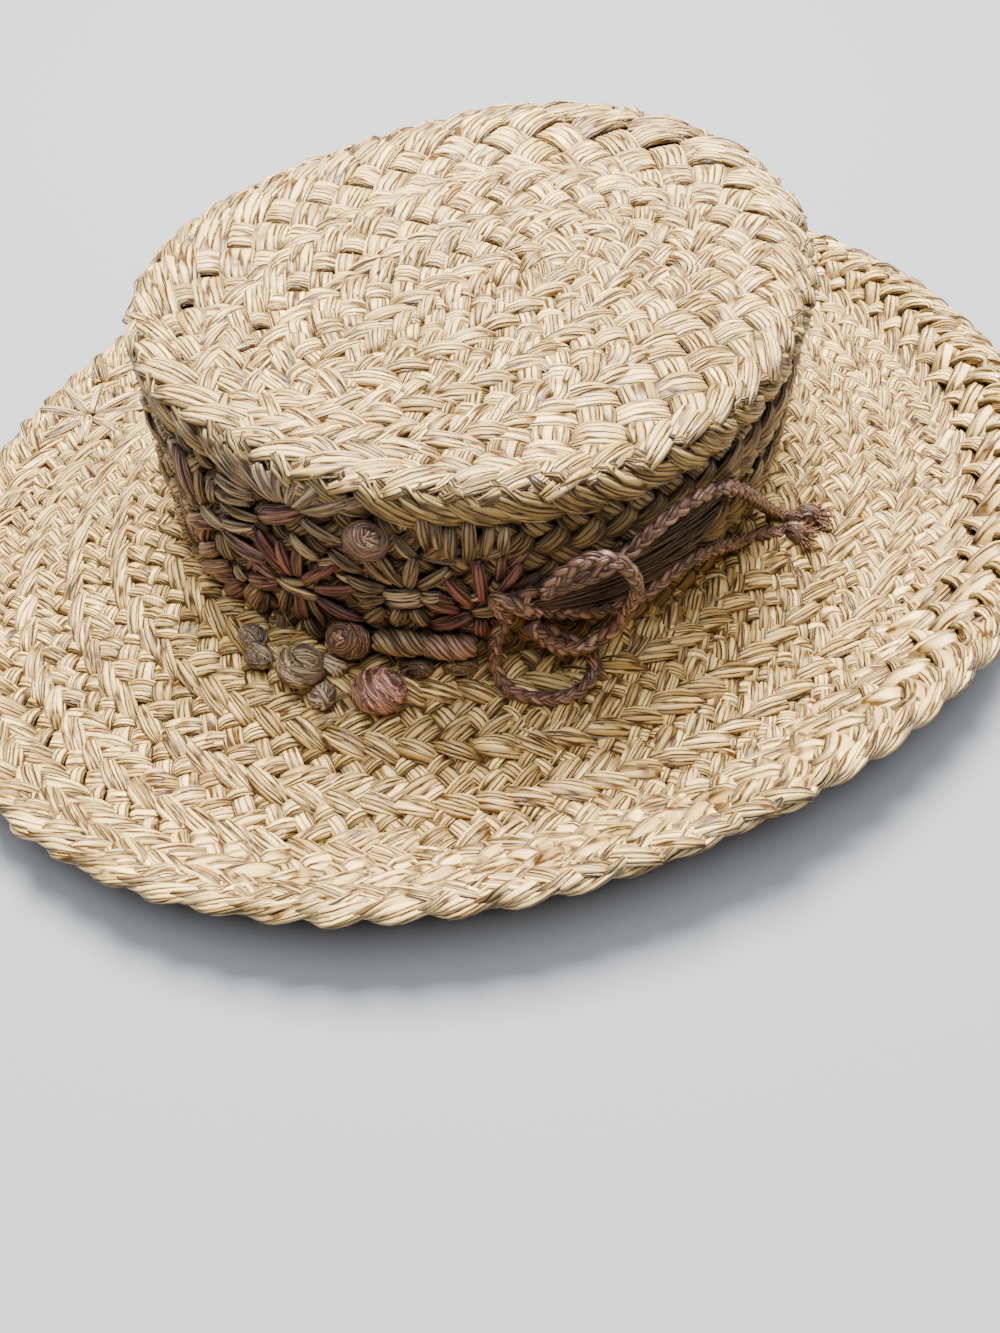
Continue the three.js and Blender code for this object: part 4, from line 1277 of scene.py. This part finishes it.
# The hank: loose strands that fan out from the knot and end cut and ragged.
# Columns of a lock: its lowest and its highest end, and the angle where it is cut.
hank = {
    "angle": 233.0, "low": 40.5, "high": 50.0, "strands": 300, "steps": 13, "sides": 4, "seed": 79,
    "out": 0.7, "layers": 4.8, "ragged": 1.6, "straggle": 0.5, "sag": 0.5, "waves": (6, 14),
    "waveHeight": 0.25, "fadeFrom": 0.72, "fadeOver": 0.25, "brownShare": 0.75, "brightness": (0.55, 1.1),
    "halfWidth": (0.35, 0.75), "halfThick": 0.28,
    "locks": [(32.0, 37.5, 257), (36.5, 42.5, 262), (41.5, 47.5, 266), (46.5, 52.5, 269), (51.5, 57.5, 271),
              (56.5, 61.0, 270)],
}


def makeHank(s):
    rng = np.random.default_rng(s["seed"])
    share = np.linspace(0, 1, s["steps"])
    parts = []
    for strand in range(s["strands"]):
        index = int(rng.integers(len(s["locks"])))
        low, high, cut = s["locks"][index]
        first = s["low"] + (s["high"] - s["low"]) * (index + rng.random()) / len(s["locks"])
        inLock = rng.random()
        last = low + (high - low) * inLock + rng.normal(0, s["straggle"])
        turned = (cut + rng.normal(0, s["ragged"]) - s["angle"]) * share
        layer = rng.random()
        angle = np.radians(s["angle"] + turned)
        sag = rng.normal(0, s["sag"]) * np.sin(np.pi * share)
        wave = s["waveHeight"] * np.sin(share * rng.uniform(*s["waves"]) + rng.uniform(0, 6))
        height = first + (last - first) * share ** 0.9 + sag + wave
        ridge = 0.4 + 0.6 * math.sin(math.pi * inLock)
        out = s["out"] + s["layers"] * layer * ridge * (1.0 - 0.35 * share)
        out = out + 0.15 * np.sin(share * 9 + strand)
        line = sidePoint(angle, height, out)
        normals = unit(sidePoint(angle, height, out + 1) - line)
        fade = np.clip((share - s["fadeFrom"]) / s["fadeOver"], 0, 1)[:, None] * rng.uniform(0.2, 1)
        own = np.array(dyes["brown" if rng.random() < s["brownShare"] else "mauve"])
        own = own * rng.uniform(*s["brightness"])
        parts.append(tube(
            line, normals, rng.uniform(*s["halfWidth"]) * (1.1 - 0.5 * share), s["halfThick"], s["sides"],
            rng.uniform(0, 1), rng,
            depth=0.25 + 0.75 * layer, tint=own * (1 - fade) + np.array(dyes["olive"]) * fade,
        ))
    joined("raffiaHank", parts, dyedRaffia, "raffia_hank", "raffia_hank")


makeHank(hank)

# The flower of natural straw near the rim.
brimFlower = {
    "at": (126.4, 0.78), "petals": [20, 66, 112, 155, 200, 243, 288, 333], "askew": 5, "from": 2,
    "reach": (13, 18), "width": (3.6, 4.6), "base": 3.4, "seed": 83,
}


def makeBrimFlower(s):
    rng = np.random.default_rng(s["seed"])
    patch = brimPatch(*s["at"])
    style = {**thread, "base": s["base"]}
    parts = []
    for turn in s["petals"]:
        way = math.radians(turn + rng.uniform(-s["askew"], s["askew"]))
        forward = np.array([math.cos(way), math.sin(way)])
        end = rng.uniform(*s["reach"]) * forward
        moved = movedPatch(patch, *(s["from"] * forward))
        parts += stitch(moved, end, rng.uniform(*s["width"]), dyes["straw"], style, rng)
    joined("brimFlower", parts, dyedRaffia, "straw_flower", "brim_flower")


makeBrimFlower(brimFlower)

# Stray ends: small knots on the tip, and fibres that stand out of the plait.
nubs = {
    "at": [(-50, -38), (-36, -37), (-20, -40), (2, -39), (20, -38), (-71, 18), (-54, -17), (-55, -52),
           (-20, -43), (34, -11)],
    "length": (3, 5), "width": 2.6, "thread": {**thread, "base": 2.2, "rise": 0.7},
}
# onSide and onBrim: up to which random value a fibre stands on the crown's side, and on the brim.
strays = {
    "seed": 89, "count": 70, "length": (4, 13), "thick": 0.16, "steps": 7, "sides": 5, "tone": 0.8,
    "onSide": 0.35, "onBrim": 0.75, "heights": (22, 82), "shares": (0.08, 0.95), "x": (-70, 70),
    "y": (-55, 50), "curl": 1.6, "from": 1.5, "lift": (0.5, 2.6), "upright": [0.1, 0.2, 1.0],
}


def makeStrays(s):
    rng = np.random.default_rng(s["seed"])
    share = np.linspace(0, 1, s["steps"])
    parts = []
    for x, y in nubs["at"]:
        way = rng.uniform(0, 2 * np.pi)
        end = (rng.uniform(*nubs["length"]) * math.cos(way), rng.uniform(*nubs["length"]) * math.sin(way))
        parts += stitch(tipPatch(x, y), end, nubs["width"], dyes["strawOlive"], nubs["thread"], rng)
    for index in range(s["count"]):
        kind = rng.random()
        angle = rng.uniform(0, 360)
        if kind < s["onSide"]:
            patch = sidePatch(angle, rng.uniform(*s["heights"]))
        elif kind < s["onBrim"]:
            patch = brimPatch(angle, rng.uniform(*s["shares"]))
        else:
            patch = tipPatch(rng.uniform(*s["x"]), rng.uniform(*s["y"]))
        way = rng.uniform(0, 2 * np.pi)
        reach = rng.uniform(*s["length"]) * share
        curl = rng.normal(0, s["curl"]) * share ** 2
        right = math.cos(way) * reach - math.sin(way) * curl
        up = math.sin(way) * reach + math.cos(way) * curl
        lift = s["from"] + rng.uniform(*s["lift"]) * np.sin(np.pi * share * 0.8) + share * 0.6
        parts.append(tube(
            patch(right, up, lift), np.tile(s["upright"], (len(share), 1)), s["thick"] * (1.1 - 0.7 * share),
            s["thick"] * 0.7, s["sides"], s["tone"], rng, tint=dyes["straw"],
        ))
    joined("strayEnds", parts, dyedRaffia, "straw_crown")


makeStrays(strays)

# Light and floor, in metres.
lights = {
    "key": {"at": (0.32, 0.4, 1.33), "size": 0.6, "power": 100.0, "colour": (1.0, 0.97, 0.91)},
    "fill": {"at": (-0.2, -0.3, 1.7), "size": 1.2, "power": 29.0, "colour": (0.97, 0.975, 1.0)},
}
lightsTarget = (0.0, 0.0, 0.04)
room = {"colour": (0.9, 0.95, 1.0), "strength": 0.045}
paleFloor = {"half": 3.0, "colour": (0.33, 0.345, 0.37), "roughness": 0.85}


def addLights(table):
    for name, s in table.items():
        data = bpy.data.lights.new(name, "AREA")
        data.size = s["size"]
        data.energy = s["power"]
        data.color = s["colour"]
        back = unit(np.array(s["at"]) - lightsTarget)
        right = unit(np.cross([0.0, 0.0, 1.0], back))
        standAt(bpy.data.objects.new(name, data), right, np.cross(back, right), back, s["at"])


def addWorld(s):
    world = bpy.data.worlds.new("softRoom")
    world.use_nodes = True
    background = world.node_tree.nodes["Background"]
    background.inputs["Color"].default_value = (*s["colour"], 1)
    background.inputs["Strength"].default_value = s["strength"]
    bpy.context.scene.world = world


def addFloor(s):
    corners = [(x * s["half"], y * s["half"], 0) for x, y in ((-1, -1), (1, -1), (1, 1), (-1, 1))]
    mesh = bpy.data.meshes.new("floor")
    mesh.from_pydata(corners, [], [(0, 1, 2, 3)])
    material = bpy.data.materials.new("paleFloor")
    material.use_nodes = True
    shader = material.node_tree.nodes["Principled BSDF"]
    shader.inputs["Base Color"].default_value = (*s["colour"], 1)
    shader.inputs["Roughness"].default_value = s["roughness"]
    mesh.materials.append(material)
    floor = bpy.data.objects.new("floor", mesh)
    bpy.context.scene.collection.objects.link(floor)


addLights(lights)
addWorld(room)
addFloor(paleFloor)
print("light and floor placed")
